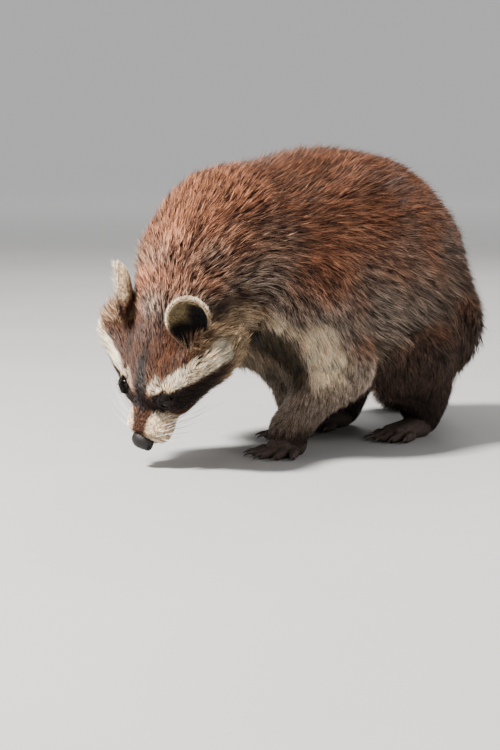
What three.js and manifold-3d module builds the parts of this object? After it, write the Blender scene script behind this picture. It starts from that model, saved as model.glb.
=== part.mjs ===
// An adult raccoon, life size, standing on four paws with its back arched and its nose lowered.
// Millimetres, +Z up. The animal faces -Y and its left side is +X. The origin is on the floor, at
// the middle of the animal's box. Every size is that of the coat, out to the tips of the hair.
import * as THREE from "three";
import { mergeVertices } from "three/addons/utils/BufferGeometryUtils.js";
import Module from "manifold-3d";

const wasm = await Module();
wasm.setup();

// ---------------------------------------------------------------- driving dimensions

const CUT = 0.3; // clear gap left between neighbouring pieces
const GROWN = 0.8; // how far a surface is set out before it is cut away from a neighbour
const FAR = 900; // longer than the animal, for cutting boxes
const CELL = { body: 27, tail: 21.5, shank: 15, head: 9.8, palm: 12 }; // mesh sizes

// The head's own frame: origin midway between the eyes, nose along -Y, crown along +Z.
const HEAD = {
  at: [-9.5, -225, 74.5],
  pitch: 69, // degrees that the nose points below level
  lean: 4, // degrees that the head leans over to its left
  turn: -10, // degrees that the nose swings to the animal's left
};
const EYE = { at: [27.5, -4.5, 12.5], r: 7.5 };
const NOSE = { at: [0, -48, -9], size: [11.5, 9, 9.5] };
const EAR = {
  base: [43, 57, 34.5],
  length: 49,
  width: 22,
  thick: 11,
  cup: 13, // depth of the hollow
  wall: 4.5,
  opening: [0.63, -0.59, 0.5], // the way the hollow faces, on the left ear
  axis: { 1: [0.25, 0.62, 0.74], [-1]: [-0.33, 0.88, 0.35] }, // from root to tip, on each side
};

// Where each paw and elbow stands. The legs are staggered as in a slow walk.
const STANCE = {
  fore: { 1: { paw: [36, -89], elbow: [78, -60, 92] }, [-1]: { paw: [-30, 4], elbow: [-62, 14, 100] } },
  hind: { 1: { paw: [58, 88], knee: [74, 58, 96] }, [-1]: { paw: [-48, 86], knee: [-74, 56, 96] } },
};
const WRIST = { fore: 25, hind: 34 }; // height at which a paw is parted from its leg

// Digits fan out from the front of the palm or sole, and each ends in a claw.
const DIGIT = {
  count: 5,
  root: 6, // radius at the palm
  tip: 3.6,
  height: 5, // of the digit's axis above the floor
  fore: { length: [21, 29, 32, 29, 22], spread: 17, reach: 16, across: 5.5 },
  hind: { length: [18, 25, 27, 26, 20], spread: 9, reach: 34, across: 6.5 },
};
const CLAW = { length: 11, root: 2.4, tip: 0.4, droop: 18 };

const TAIL = { radius: 32, tip: 15, cuts: [2, 3, 5] };

const material = (color, roughness = 0.9) =>
  new THREE.MeshStandardMaterial({ color, roughness, metalness: 0 });
const RUSTY = material(0x7a5040);
const GRIZZLED = material(0x6b5548);
const PALE = material(0xcbb9a2);
const GREY = material(0x5b4c45);
const DARK = material(0x3a2a22);
const HORN = material(0x2a2320, 0.5);
const WET = material(0x191513, 0.25);

const v = (a) => new THREE.Vector3(...a);
const rad = THREE.MathUtils.degToRad;
const sides = [1, -1];
const ends = ["fore", "hind"];
const sideName = { 1: "left", [-1]: "right" };
const onBothSides = (make) => sides.flatMap(make);

// ---------------------------------------------------------------- distance fields

// A ball that rolls from a to b while its radius goes from ra to rb.
function roll(a, b, ra, rb, blend) {
  const from = v(a);
  const along = v(b).sub(from);
  const length2 = along.lengthSq();
  const q = new THREE.Vector3();
  return {
    blend,
    distance(p) {
      q.subVectors(p, from);
      const t = Math.min(1, Math.max(0, q.dot(along) / length2));
      return q.addScaledVector(along, -t).length() - ra - (rb - ra) * t;
    },
  };
}

// An ellipsoid with its half sizes along X, Y and Z.
function egg(centre, size, blend) {
  const c = v(centre);
  const q = new THREE.Vector3();
  return {
    blend,
    distance(p) {
      q.subVectors(p, c);
      const k0 = Math.hypot(q.x / size[0], q.y / size[1], q.z / size[2]);
      const k1 = Math.hypot(q.x / size[0] ** 2, q.y / size[1] ** 2, q.z / size[2] ** 2);
      return k1 < 1e-9 ? -Math.min(...size) : (k0 * (k0 - 1)) / k1;
    },
  };
}

// Balls rolling through a row of stations, each [x, y, z, radius].
const chain = (stations, blend) =>
  stations.slice(1).map((b, i) => {
    const a = stations[i];
    return roll(a.slice(0, 3), b.slice(0, 3), a[3], b[3], blend);
  });

// The masses run into each other, each over its own blend width.
const melt = (masses) => (p) =>
  masses.reduce((near, mass) => {
    const d = mass.distance(p);
    const h = Math.max(mass.blend - Math.abs(near - d), 0) / mass.blend;
    return Math.min(near, d) - (h * h * mass.blend) / 4;
  }, 1e3);

// ---------------------------------------------------------------- the animal's masses

const headPlace = new THREE.Object3D();
headPlace.position.set(...HEAD.at);
headPlace.rotation.set(rad(HEAD.pitch), rad(HEAD.lean), rad(HEAD.turn), "XYZ");
headPlace.updateMatrixWorld();
const headMatrix = headPlace.matrixWorld;
const headInverse = headMatrix.clone().invert();

const WITHERS = [0, -128, 203, 80];
const spine = chain(
  [
    WITHERS,
    [0, -70, 188, 104], // ribs
    [0, 0, 186, 116], // last rib
    [0, 62, 183, 112], // loin
    [0, 108, 168, 92], // hips
    [0, 132, 148, 70], // rump
  ],
  20,
);
const neck = chain(
  [
    WITHERS,
    [0, -168, 184, 62], // nape
    [4, -196, 152, 49], // behind the ears
  ],
  25,
);

const tailLine = [
  [0, 178, 142, 26],
  [-10, 204, 100, TAIL.radius],
  [-38, 226, 54, TAIL.radius],
  [-74, 248, 30, TAIL.radius],
  [-112, 286, 30, TAIL.radius],
  [-148, 322, 27, TAIL.radius - 4],
  [-180, 354, 18, TAIL.tip],
];
const tail = chain(tailLine, 14);

const legLine = {
  fore(side) {
    const { paw, elbow } = STANCE.fore[side];
    return [
      [58 * side, -100, 165, 62], // shoulder
      [...elbow, 34],
      [paw[0], paw[1] + 6, 26, 16], // wrist
      [...paw, 10, 13],
    ];
  },
  hind(side) {
    const { paw, knee } = STANCE.hind[side];
    return [
      [56 * side, 98, 120, 73], // hip
      [...knee, 47],
      [paw[0], paw[1] + 20, 44, 24], // hock
      [paw[0], paw[1] + 22, 16, 15], // heel
    ];
  },
};
const legMasses = {
  fore: (side) => chain(legLine.fore(side), 22),
  hind: (side) => chain(legLine.hind(side), 26),
};

const skull = [
  egg([0, 46, 2], [47, 50, 36], 16), // cranium
  egg([0, 14, 6], [34, 30, 24], 14), // brow
  ...onBothSides((side) => [
    roll([23 * side, 2, -1.5], [55.5 * side, 46, 13.5], 20, 25.5, 14), // cheek
    roll([55.5 * side, 46, 13.5], [50 * side, 63, -8], 25.5, 24, 10), // ruff
    egg([11.5 * side, -31, -11], [14.5, 19, 14], 8), // whisker pad
  ]),
  roll([0, 8, -8], [0, -38, -9], 26, 13, 14), // muzzle
  roll([0, 26, -28], [0, -30, -25], 20, 9, 12), // lower jaw
];
const inHead = (mass) => {
  const q = new THREE.Vector3();
  return { blend: mass.blend, distance: (p) => mass.distance(q.copy(p).applyMatrix4(headInverse)) };
};
const trunkMasses = [...spine, ...neck];
const headField = melt([...trunkMasses, ...skull.map(inHead)]);
const allLegs = onBothSides((side) => [...legMasses.fore(side), ...legMasses.hind(side)]);
const bodyField = melt([...trunkMasses, ...allLegs, ...tail]);

// ---------------------------------------------------------------- surface and solids

// Meshes the zero level of field inside box, with one vertex per crossed cell that is then pulled
// onto the level. The box may be given in a frame of its own; the field is asked in the animal's.
function surfaceNet(field, box, cell, frame = new THREE.Matrix4()) {
  const size = box.getSize(new THREE.Vector3());
  const count = size.toArray().map((s) => Math.ceil(s / cell) + 1);
  const centre = box.getCenter(new THREE.Vector3());
  const half = size.multiplyScalar(0.5).subScalar(cell * 1.01);
  const q = new THREE.Vector3();
  const closed = (p) => {
    const [x, y, z] = [0, 1, 2].map((d) => {
      return Math.abs(p.getComponent(d) - centre.getComponent(d)) - half.getComponent(d);
    });
    return Math.max(field(q.copy(p).applyMatrix4(frame)), x, y, z);
  };
  const at = (i, j, k) => new THREE.Vector3(i, j, k).multiplyScalar(cell).add(box.min);
  const key = (i, j, k) => (k * count[1] + j) * count[0] + i;
  const cells = function* (first) {
    for (let k = first; k + 1 < count[2]; k++)
      for (let j = first; j + 1 < count[1]; j++)
        for (let i = first; i + 1 < count[0]; i++) yield [i, j, k];
  };

  const values = new Float32Array(count[0] * count[1] * count[2]);
  for (let k = 0; k < count[2]; k++)
    for (let j = 0; j < count[1]; j++)
      for (let i = 0; i < count[0]; i++) values[key(i, j, k)] = closed(at(i, j, k));

  const corners = [0, 1, 2, 3, 4, 5, 6, 7].map((c) => [c & 1, (c >> 1) & 1, c >> 2]);
  const differ = (a, b) => a.filter((x, d) => x !== b[d]).length;
  const edges = corners.flatMap((a, m) =>
    corners
      .slice(m + 1)
      .filter((b) => differ(a, b) === 1)
      .map((b) => [a, b]),
  );
  const e = cell * 0.05;
  const slope = (p) => {
    const across = [0, 1, 2].map((d) => {
      const [low, high] = [p.clone(), p.clone()];
      low.setComponent(d, p.getComponent(d) - e);
      high.setComponent(d, p.getComponent(d) + e);
      return (closed(high) - closed(low)) / (2 * e);
    });
    return v(across);
  };
  const positions = [];
  const vertexOf = new Map();
  for (const [i, j, k] of cells(0)) {
    const value = ([a, b, c]) => values[key(i + a, j + b, k + c)];
    const crossed = edges.filter(([a, b]) => value(a) < 0 !== value(b) < 0);
    if (!crossed.length) continue;
    const mean = new THREE.Vector3();
    for (const [a, b] of crossed) {
      const t = value(a) / (value(a) - value(b));
      mean.add(at(i + a[0], j + a[1], k + a[2]).lerp(at(i + b[0], j + b[1], k + b[2]), t));
    }
    mean.divideScalar(crossed.length);
    for (let pull = 0; pull < 2; pull++) {
      const g = slope(mean);
      const step = g.multiplyScalar(closed(mean) / Math.max(g.lengthSq(), 0.25));
      mean.sub(step.clampLength(0, cell * 0.3));
    }
    vertexOf.set(key(i, j, k), positions.length / 3);
    positions.push(...mean);
  }

  const index = [];
  const axes = [[1, 0, 0], [0, 1, 0], [0, 0, 1]];
  for (const [i, j, k] of cells(1))
    axes.forEach((axis, d) => {
      const here = values[key(i, j, k)] < 0;
      const next = values[key(i + axis[0], j + axis[1], k + axis[2])] < 0;
      if (here === next) return;
      const u = axes[(d + 1) % 3];
      const w = axes[(d + 2) % 3];
      const around = [[0, 0], [1, 0], [1, 1], [0, 1]].map(([a, b]) =>
        vertexOf.get(key(i - a * u[0] - b * w[0], j - a * u[1] - b * w[1], k - a * u[2] - b * w[2])),
      );
      if (!here) around.reverse();
      const [a, b, c, f] = around;
      index.push(a, b, c, a, c, f);
    });
  const geometry = new THREE.BufferGeometry();
  geometry.setAttribute("position", new THREE.Float32BufferAttribute(positions, 3));
  geometry.setIndex(index);
  return geometry;
}

// A geometry as a closed solid, and back.
function solid(geometry, matrix = new THREE.Matrix4()) {
  const bare = geometry.clone();
  for (const name of Object.keys(bare.attributes)) if (name !== "position") bare.deleteAttribute(name);
  const merged = mergeVertices(bare.applyMatrix4(matrix), 1e-3);
  return new wasm.Manifold(
    new wasm.Mesh({
      numProp: 3,
      vertProperties: merged.attributes.position.array,
      triVerts: new Uint32Array(merged.index.array),
    }),
  );
}

function geometryOf(made) {
  const { vertProperties, triVerts } = made.getMesh();
  const geometry = new THREE.BufferGeometry();
  geometry.setAttribute("position", new THREE.BufferAttribute(vertProperties, 3));
  geometry.setIndex(new THREE.BufferAttribute(triVerts, 1));
  return geometry;
}

const common = (...made) => made.reduce((a, b) => a.intersect(b));
const joined = (...made) => made.reduce((a, b) => a.add(b));
const less = (a, ...others) => others.reduce((left, b) => left.subtract(b), a);
const biggest = (made) => made.decompose().reduce((a, b) => (a.volume() > b.volume() ? a : b));
const boxOf = (low, high) => new THREE.Box3(v(low), v(high));

// All the space past a plane, on the side its normal points to, as a large box that starts gap
// beyond the plane.
function past(point, normal, gap = CUT / 2) {
  const n = v(normal).normalize();
  const turn = new THREE.Quaternion().setFromUnitVectors(new THREE.Vector3(0, 0, 1), n);
  const middle = v(point).addScaledVector(n, FAR / 2 + gap);
  const place = new THREE.Matrix4().compose(middle, turn, v([1, 1, 1]));
  return solid(new THREE.BoxGeometry(FAR, FAR, FAR), place);
}
const flip = (n) => n.map((x) => -x);
const ahead = (plane) => past(plane.at, flip(plane.to));
const behind = (plane) => past(plane.at, plane.to);

// ---------------------------------------------------------------- where the body is parted

// Each plane's normal points towards the tail.
const inWorld = (point) => v(point).applyMatrix4(headMatrix).toArray();
const turned = (normal) => v(normal).transformDirection(headMatrix).toArray();
const NAPE = { at: inWorld([0, 84, -10]), to: turned([0, 0.93, -0.37]) };
const COLLAR = { at: [0, -150, 200], to: [0, 0.965, -0.263] };
const RIBS = { at: [0, -18, 0], to: [0, 1, 0] };
const LOIN = { at: [0, 76, 0], to: [0, 1, 0] };
const TAIL_ROOT = { at: [0, 190, 124], to: [0, 0.8, -0.6] };
const TAIL_SPACE = { at: [0, 150, 0], to: [0, 1, 0] };
const LEG = {
  top: { fore: 138, hind: 150 },
  low: { fore: 66, hind: 54 }, // where the shank starts
  upper: { fore: "shoulder", hind: "thigh" },
  finish: { fore: PALE, hind: GREY },
  fork: 52, // height at which the inner walls of the left and right leg meet
  slant: 0.45,
  midway: 9, // between fore and hind leg
  front: -200,
  back: 176,
};
const FLOOR = past([0, 0, 0], [0, 0, 1], 0);

// The space that holds one whole leg below the shoulder or hip. Its inner wall leans in under
// the belly.
function legSpace(side, end, gap = CUT / 2) {
  const back = end === "fore" ? -1 : 1;
  const walls = [
    [[0, 0, LEG.top[end]], [0, 0, -1]],
    [[0, 0, LEG.fork], [side, 0, -LEG.slant]],
    [[0, LEG.midway, 0], [0, back, 0]],
    [[0, back < 0 ? LEG.front : LEG.back, 0], [0, -back, 0]],
  ];
  return common(...walls.map(([at, to]) => past(at, to, gap)));
}

// ---------------------------------------------------------------- pieces

const animal = new THREE.Group();

function add(name, made, finish) {
  const mesh = new THREE.Mesh(geometryOf(made), finish);
  mesh.name = name;
  animal.add(mesh);
}

const headBox = boxOf([-95, -74, -74], [98, 128, 70]);
const headSolid = (field) =>
  solid(surfaceNet(field, headBox, CELL.head, headMatrix), headMatrix);
const grownHead = headSolid((p) => headField(p) - GROWN);
const headCutter = common(
  grownHead,
  past(NAPE.at, flip(NAPE.to), -CUT),
  past(COLLAR.at, flip(COLLAR.to), -CUT),
);

function ball(centre, size, place = headMatrix) {
  const stretch = new THREE.Matrix4().compose(v(centre), new THREE.Quaternion(), v(size));
  return solid(new THREE.SphereGeometry(1, 10, 7), stretch.premultiply(place));
}
const grown = (size) => size.map((s) => s + CUT);
const eyeSize = [EYE.r, EYE.r, EYE.r];
const eyeAt = (side) => [EYE.at[0] * side, EYE.at[1], EYE.at[2]];

function buildHead() {
  const sockets = sides.map((side) => ball(eyeAt(side), grown(eyeSize)));
  const whole = common(headSolid(headField), ahead(NAPE), ahead(COLLAR), FLOOR);
  add("head", biggest(less(whole, ball(NOSE.at, grown(NOSE.size)), ...sockets)), GRIZZLED);
  add("nose", ball(NOSE.at, NOSE.size), WET);
  for (const side of sides) add(`eye_${sideName[side]}`, ball(eyeAt(side), eyeSize), WET);
}

// A thin cup whose back is the ear's outer face.
function buildEar(side) {
  const axis = v(EAR.axis[side]).normalize();
  const back = v(flip(EAR.opening));
  back.x *= side;
  const across = new THREE.Vector3().crossVectors(back, axis).normalize();
  back.crossVectors(axis, across);
  const place = new THREE.Matrix4().makeBasis(across, back, axis);
  place.setPosition(EAR.base[0] * side, EAR.base[1], EAR.base[2]).premultiply(headMatrix);
  const outer = [EAR.width, EAR.thick, EAR.length * 0.58];
  const inner = [EAR.width - EAR.wall, EAR.cup, outer[2] - EAR.wall];
  const shell = ball([0, 0, EAR.length * 0.45], outer, place);
  const hollow = ball([0, EAR.wall - EAR.cup, EAR.length * 0.48], inner, place);
  add(`ear_${sideName[side]}`, biggest(less(shell, hollow, grownHead)), PALE);
}

function buildTrunk() {
  const wideBox = boxOf([-163, -270, -40], [170, 240, 340]);
  const wide = solid(surfaceNet(bodyField, wideBox, CELL.body));
  const legSpaces = ends.flatMap((end) => sides.map((side) => legSpace(side, end, -CUT / 2)));
  const torso = less(common(wide, FLOOR), headCutter, ...legSpaces);
  const trunk = common(torso, behind(COLLAR));
  const tailCutter = common(
    past(TAIL_ROOT.at, TAIL_ROOT.to, -CUT / 2),
    past(TAIL_SPACE.at, TAIL_SPACE.to, -CUT / 2),
  );
  add("neck", biggest(common(torso, ahead(COLLAR), behind(NAPE))), RUSTY);
  add("chest", biggest(common(trunk, ahead(RIBS))), RUSTY);
  add("belly", biggest(common(trunk, behind(RIBS), ahead(LOIN))), RUSTY);
  add("rump", biggest(less(common(trunk, behind(LOIN)), tailCutter)), RUSTY);
  for (const end of ends)
    for (const side of sides) {
      const whole = common(wide, legSpace(side, end), past([0, 0, LEG.low[end]], [0, 0, 1]));
      const name = `${LEG.upper[end]}_${sideName[side]}`;
      add(name, biggest(less(whole, headCutter, tailCutter)), LEG.finish[end]);
    }
}

function buildTail() {
  const net = surfaceNet(melt([...spine, ...tail]), boxOf([-225, 130, -30], [60, 400, 190]), CELL.tail);
  const root = common(solid(net), FLOOR, behind(TAIL_ROOT), behind(TAIL_SPACE));
  const planes = TAIL.cuts.map((i) => {
    const station = (j) => tailLine[j].slice(0, 3);
    return { at: station(i), to: v(station(i + 1)).sub(v(station(i - 1))).toArray() };
  });
  for (let piece = 0; piece <= planes.length; piece++) {
    const limits = [];
    if (piece > 0) limits.push(behind(planes[piece - 1]));
    if (piece < planes.length) limits.push(ahead(planes[piece]));
    add(`tail_${piece + 1}`, biggest(common(root, ...limits)), DARK);
  }
}

// A rod round +Y. Each ring of the profile is [radius, height].
const rod = (profile) =>
  new THREE.LatheGeometry(
    profile.map((ring) => new THREE.Vector2(...ring)),
    5,
  );
const digit = (length) =>
  rod([
    [0, -DIGIT.root],
    [DIGIT.root, -DIGIT.root * 0.7],
    [DIGIT.root * 0.86, length * 0.55],
    [DIGIT.tip, length],
    [0, length],
  ]);
const claw = rod([
  [0, 0],
  [CLAW.root, 0],
  [CLAW.tip, CLAW.length],
  [0, CLAW.length],
]);

function buildLeg(side, end) {
  const x = side > 0 ? [-60, 160] : [-160, 60];
  const y = end === "fore" ? [-170, 50] : [-20, 200];
  const field = melt([...trunkMasses, ...legMasses[end](side)]);
  const net = surfaceNet(field, boxOf([x[0], y[0], -20], [x[1], y[1], 100]), CELL.shank);
  const below = past([0, 0, LEG.low[end]], [0, 0, -1]);
  const above = past([0, 0, WRIST[end]], [0, 0, 1]);
  const made = common(solid(net), legSpace(side, end), below, above);
  add(`${end}leg_${sideName[side]}`, biggest(less(made, headCutter)), LEG.finish[end]);
}

function buildPaw(side, end) {
  const { paw } = STANCE[end][side];
  const { length, spread, reach, across } = DIGIT[end];
  const name = `${end}paw_${sideName[side]}`;
  const onPaw = (x, y, z) => [paw[0] + x, paw[1] + y, z];
  const sole = onBothSides((s) =>
    roll(onPaw(s * 3, 12, 10), onPaw(s * across, 6 - reach, 8), 12, 9, 8),
  );
  const field = melt([...legMasses[end](side), ...sole]);
  const box = boxOf(onPaw(-35, -56, -15), onPaw(35, 63, WRIST[end] + 15));
  const net = surfaceNet(field, box, CELL.palm);
  const palm = common(solid(net), past([0, 0, WRIST[end]], [0, 0, -1]));
  const digits = length.map((long, i) => {
    const fan = (i - (DIGIT.count - 1) / 2) * side;
    const place = new THREE.Object3D();
    const root = onPaw(fan * across * 1.3, 10 - reach + Math.abs(fan) * 2, DIGIT.height);
    place.position.set(...root);
    place.rotation.z = Math.PI + rad(fan * spread);
    const tip = new THREE.Object3D();
    tip.position.y = long + CUT + CLAW.root * Math.sin(rad(CLAW.droop));
    tip.rotation.x = -rad(CLAW.droop);
    place.add(tip);
    place.updateMatrixWorld();
    add(`claw_${name}_${i + 1}`, solid(claw, tip.matrixWorld), HORN);
    return solid(digit(long), place.matrixWorld);
  });
  add(name, biggest(common(joined(palm, ...digits), FLOOR)), DARK);
}

buildHead();
buildTrunk();
buildTail();
for (const side of sides) {
  buildEar(side);
  for (const end of ends) {
    buildLeg(side, end);
    buildPaw(side, end);
  }
}

const middle = new THREE.Box3().setFromObject(animal).getCenter(new THREE.Vector3());
animal.position.set(-middle.x, -middle.y, 0);

export default animal;
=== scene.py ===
import math
from collections import namedtuple

import bpy
import numpy as np
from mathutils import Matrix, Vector, kdtree


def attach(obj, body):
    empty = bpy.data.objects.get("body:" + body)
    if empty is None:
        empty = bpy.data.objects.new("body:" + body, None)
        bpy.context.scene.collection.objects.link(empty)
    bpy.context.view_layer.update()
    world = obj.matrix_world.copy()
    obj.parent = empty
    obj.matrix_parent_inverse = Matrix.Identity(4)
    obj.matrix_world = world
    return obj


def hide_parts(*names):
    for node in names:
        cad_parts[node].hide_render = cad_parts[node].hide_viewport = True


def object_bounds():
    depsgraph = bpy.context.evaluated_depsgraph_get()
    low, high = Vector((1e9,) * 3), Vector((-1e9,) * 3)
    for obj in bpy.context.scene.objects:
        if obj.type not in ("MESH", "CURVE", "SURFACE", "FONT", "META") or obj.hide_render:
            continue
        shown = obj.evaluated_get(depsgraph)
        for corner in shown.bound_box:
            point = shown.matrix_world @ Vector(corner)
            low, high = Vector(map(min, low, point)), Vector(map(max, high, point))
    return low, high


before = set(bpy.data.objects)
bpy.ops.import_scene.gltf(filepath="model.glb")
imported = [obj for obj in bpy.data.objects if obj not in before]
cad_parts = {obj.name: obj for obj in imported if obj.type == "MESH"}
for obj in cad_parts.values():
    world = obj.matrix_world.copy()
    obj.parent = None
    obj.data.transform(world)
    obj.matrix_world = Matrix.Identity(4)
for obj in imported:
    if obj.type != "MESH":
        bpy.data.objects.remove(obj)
cad_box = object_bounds()
rng = np.random.default_rng(11)

MM = 0.001
SIDES = (1, -1)
SIDE_NAME = {1: "left", -1: "right"}


# ---- numbers and vectors


def vec(*a):
    return np.array(a, float)


def norm(a):
    return np.linalg.norm(a, axis=-1)


def unit(a):
    return a / np.maximum(norm(a)[..., None], 1e-9)


def dot(a, b):
    return (a * b).sum(-1)


def flat(a, normal):
    """The part of each vector that lies in the surface."""
    return a - normal * dot(a, normal)[:, None]


def circle(count):
    """Cosines and sines of angles spaced evenly round a circle."""
    angle = np.arange(count) * 2 * math.pi / count
    return np.cos(angle), np.sin(angle)


def smooth(low, high, x):
    t = np.clip((x - low) / (high - low), 0, 1)
    return t * t * (3 - 2 * t)


def mix(a, b, t):
    return a + (b - a) * np.asarray(t)[..., None]


def paint(r, g, b):
    """A colour given as 0 to 255 display values, as linear light."""
    c = vec(r, g, b) / 255
    return np.where(c <= 0.04045, c / 12.92, ((c + 0.055) / 1.055) ** 2.4)


def turn(axis, degrees):
    c, s = math.cos(math.radians(degrees)), math.sin(math.radians(degrees))
    i, j = [k for k in range(3) if k != axis]
    if axis == 1:
        i, j = j, i
    m = np.eye(3)
    m[i, i] = m[j, j] = c
    m[i, j], m[j, i] = -s, s
    return m


CORNERS = np.array([[c & 1, c >> 1 & 1, c >> 2] for c in range(8)])
EDGES = [(a, b) for a in range(8) for b in range(a + 1, 8) if np.abs(CORNERS[a] - CORNERS[b]).sum() == 1]


def noise(p, size, seed):
    """Smooth noise from -1 to 1, with features about size across."""
    q = p / size
    i = np.floor(q).astype(np.int64)
    f = q - i
    f = f * f * (3 - 2 * f)
    total = np.zeros(len(p))
    for corner in CORNERS:
        j = (i + corner) & 0xFFFF
        h = (j[:, 0] * 73856093 ^ j[:, 1] * 19349663 ^ j[:, 2] * 83492791 ^ (seed * 97531)) & 0xFFFFFFF
        h = (h ^ (h >> 13)) * 12741261 & 0xFFFFFFF
        h = (h ^ (h >> 15)) * 8312447 & 0xFFFFFFF
        total += (h / 0x7FFFFFF - 1) * np.prod(np.where(corner, f, 1 - f), axis=1)
    return total


# ---- the head's own frame

HEAD_AT, HEAD_TILT = vec(-9.5, -225, 74.5), (69, 4, -10)
HEAD_TURN = turn(0, HEAD_TILT[0]) @ turn(1, HEAD_TILT[1]) @ turn(2, HEAD_TILT[2])
EYE_AT, EYE_BALL, EYE_BULGE, EYE_SOCKET = vec(27.5, -4.5, 12.5), 7.25, 0.45, 7.9
EYE_LOOK, EYE_CORNERS = vec(0.74, -0.42, 0.53), vec(0.5, 1, -0.1)
NOSE_AT, NOSE_SIZE = vec(0, -48, -9), vec(11.5, 9, 9.5)
NOSE_BACK, LIP_TOP = -43.2, -18.5
NOSTRIL = vec(5.2, -55.6, -10.0)
MOUTH = [vec(0, -51, -20), vec(9, -46, -20.5), vec(15, -34, -22.5), vec(20, -20, -23), vec(25, -8, -20)]
EAR_BASE, EAR_LENGTH, EAR_WIDTH, EAR_THICK = vec(43, 57, 34.5), 49, 22, 11
EAR_CUP, EAR_WALL, EAR_EDGE = 13, 4.5, 2.0
EAR_OPENING = vec(0.63, -0.59, 0.5)
EAR_AXIS = {1: vec(0.25, 0.62, 0.74), -1: vec(-0.33, 0.88, 0.35)}


def to_head(p):
    return (p - HEAD_AT) @ HEAD_TURN


def from_head(q):
    return q @ HEAD_TURN.T + HEAD_AT


def folded(q):
    """Head points with the right side folded on to the left."""
    return np.column_stack([np.abs(q[:, 0]), q[:, 1:]])


def half_head(p):
    return folded(to_head(p))


def mirrored(a, side):
    return a * vec(side, 1, 1)


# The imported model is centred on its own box: an eye's middle shows by how much.
eye_points = np.array([v.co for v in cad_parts["eye_left"].data.vertices]) / MM
SHIFT = np.unique(eye_points.round(3), axis=0).mean(0) - from_head(EYE_AT)
SHIFT[2] = 0


def placed(p):
    return (p + SHIFT) * MM


# ---- the animal's masses

PARTS = ("head", "neck", "trunk", "fore", "hind", "tail")
LONG_COAT, LOWEST = (4, 12), 0.2
DEPTH, FLOW, PART = 0, slice(1, 4), 4
TRAITS = PART + len(PARTS)


def egg(p, centre, size):
    """About how far each point is outside an ellipsoid."""
    k0 = norm((p - centre) / size)
    k1 = np.maximum(norm((p - centre) / size**2), 1e-6)
    return k0 * (k0 - 1) / k1


class Mass:
    """A ball that rolls from a to b as its radius goes from ra to rb or, with size, an ellipsoid round a.
    Its traits at both ends are the coat's depth, the lie of the hair and the part of the body."""

    def __init__(self, a, ra, b, rb, blend, depth, flow, part, local=False, size=None):
        self.a, self.ra, self.blend, self.local, self.size = vec(*a), ra, blend, local, size
        if size is None:
            self.along, self.dr = vec(*b) - self.a, rb - ra
        flow = unit(self.along if flow is None else vec(*flow))
        self.traits = np.zeros((2, TRAITS))
        self.traits[:, DEPTH] = depth
        self.traits[:, FLOW] = HEAD_TURN @ flow if local else flow
        self.traits[:, PART + PARTS.index(part)] = 1

    def distance(self, p):
        """Distance from points, and how far along from a to b each one is."""
        if self.size is not None:
            return egg(p, self.a, self.size), np.zeros(len(p))
        p = p - self.a
        t = np.clip(p @ self.along / (self.along @ self.along), 0, 1)
        return norm(p - t[:, None] * self.along) - self.ra - self.dr * t, t


def chain(stations, blend, part, flow=None):
    """Balls rolling through stations, each [x, y, z, radius, coat depth]."""
    pairs = zip(stations, stations[1:])
    return [Mass(a[:3], a[3], b[:3], b[3], blend, (a[4], b[4]), flow, part) for a, b in pairs]


def melt(p, masses, columns=0):
    """Distance to the masses run together, and the first columns of their traits."""
    q = to_head(p)
    near = np.full(len(p), 1e3)
    found = np.zeros((len(p), columns))
    for m in masses:
        d, t = m.distance(q if m.local else p)
        if columns:
            w = np.clip(0.5 + 0.5 * (near - d) / (m.blend * 1.3), 0, 1)[:, None]
            a, b = m.traits[:, :columns]
            found += (a + (b - a) * t[:, None] - found) * w
        h = np.maximum(m.blend - np.abs(near - d), 0) / m.blend
        near = np.minimum(near, d) - h * h * m.blend / 4
    return near, found


WITHERS = [0, -128, 203, 80, 15]
SPINE = [
    WITHERS,
    [0, -70, 188, 104, 17],
    [0, 0, 186, 116, 18],
    [0, 62, 183, 112, 18],
    [0, 108, 168, 92, 18],
    [0, 132, 148, 70, 18],
]
NECK = [WITHERS, [0, -168, 184, 62, 13], [4, -196, 152, 49, 10]]
NECK_FLOW = (0, 1, 0.55)
TAIL = [
    [0, 178, 142, 26, 14],
    [-10, 204, 100, 32, 17],
    [-38, 226, 54, 32, 18],
    [-74, 248, 30, 32, 18],
    [-112, 286, 30, 32, 17],
    [-148, 322, 27, 28, 15],
    [-180, 354, 18, 15, 9],
]
# each foot's place on the floor and its elbow or knee
FORE = {1: ([36, -89], [78, -60, 92]), -1: ([-30, 4], [-62, 14, 100])}
HIND = {1: ([58, 88], [74, 58, 96]), -1: ([-48, 86], [-74, 56, 96])}
STANCES = (("fore", FORE), ("hind", HIND))
DIGIT_COUNT, DIGIT_HEIGHT = 5, 5
DIGITS = {
    "fore": {"length": [21, 29, 32, 29, 22], "spread": 17, "reach": 16, "across": 5.5},
    "hind": {"length": [18, 25, 27, 26, 20], "spread": 9, "reach": 34, "across": 6.5},
}
UP = vec(0, 0, 1)


def legs():
    made = []
    for side in SIDES:
        (x, y), elbow = FORE[side]
        wrist = [[x, y + 6, 26, 16, 3], [x, y, 10, 13, 1.2]]
        made += chain([[58 * side, -100, 165, 62, 14], [*elbow, 34, 10], *wrist], 22, "fore")
    for side in SIDES:
        (x, y), knee = HIND[side]
        hock = [[x, y + 20, 44, 24, 4.5], [x, y + 22, 16, 15, 1.5]]
        made += chain([[56 * side, 98, 120, 73, 17], [*knee, 47, 13], *hock], 26, "hind")
    return made


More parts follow.
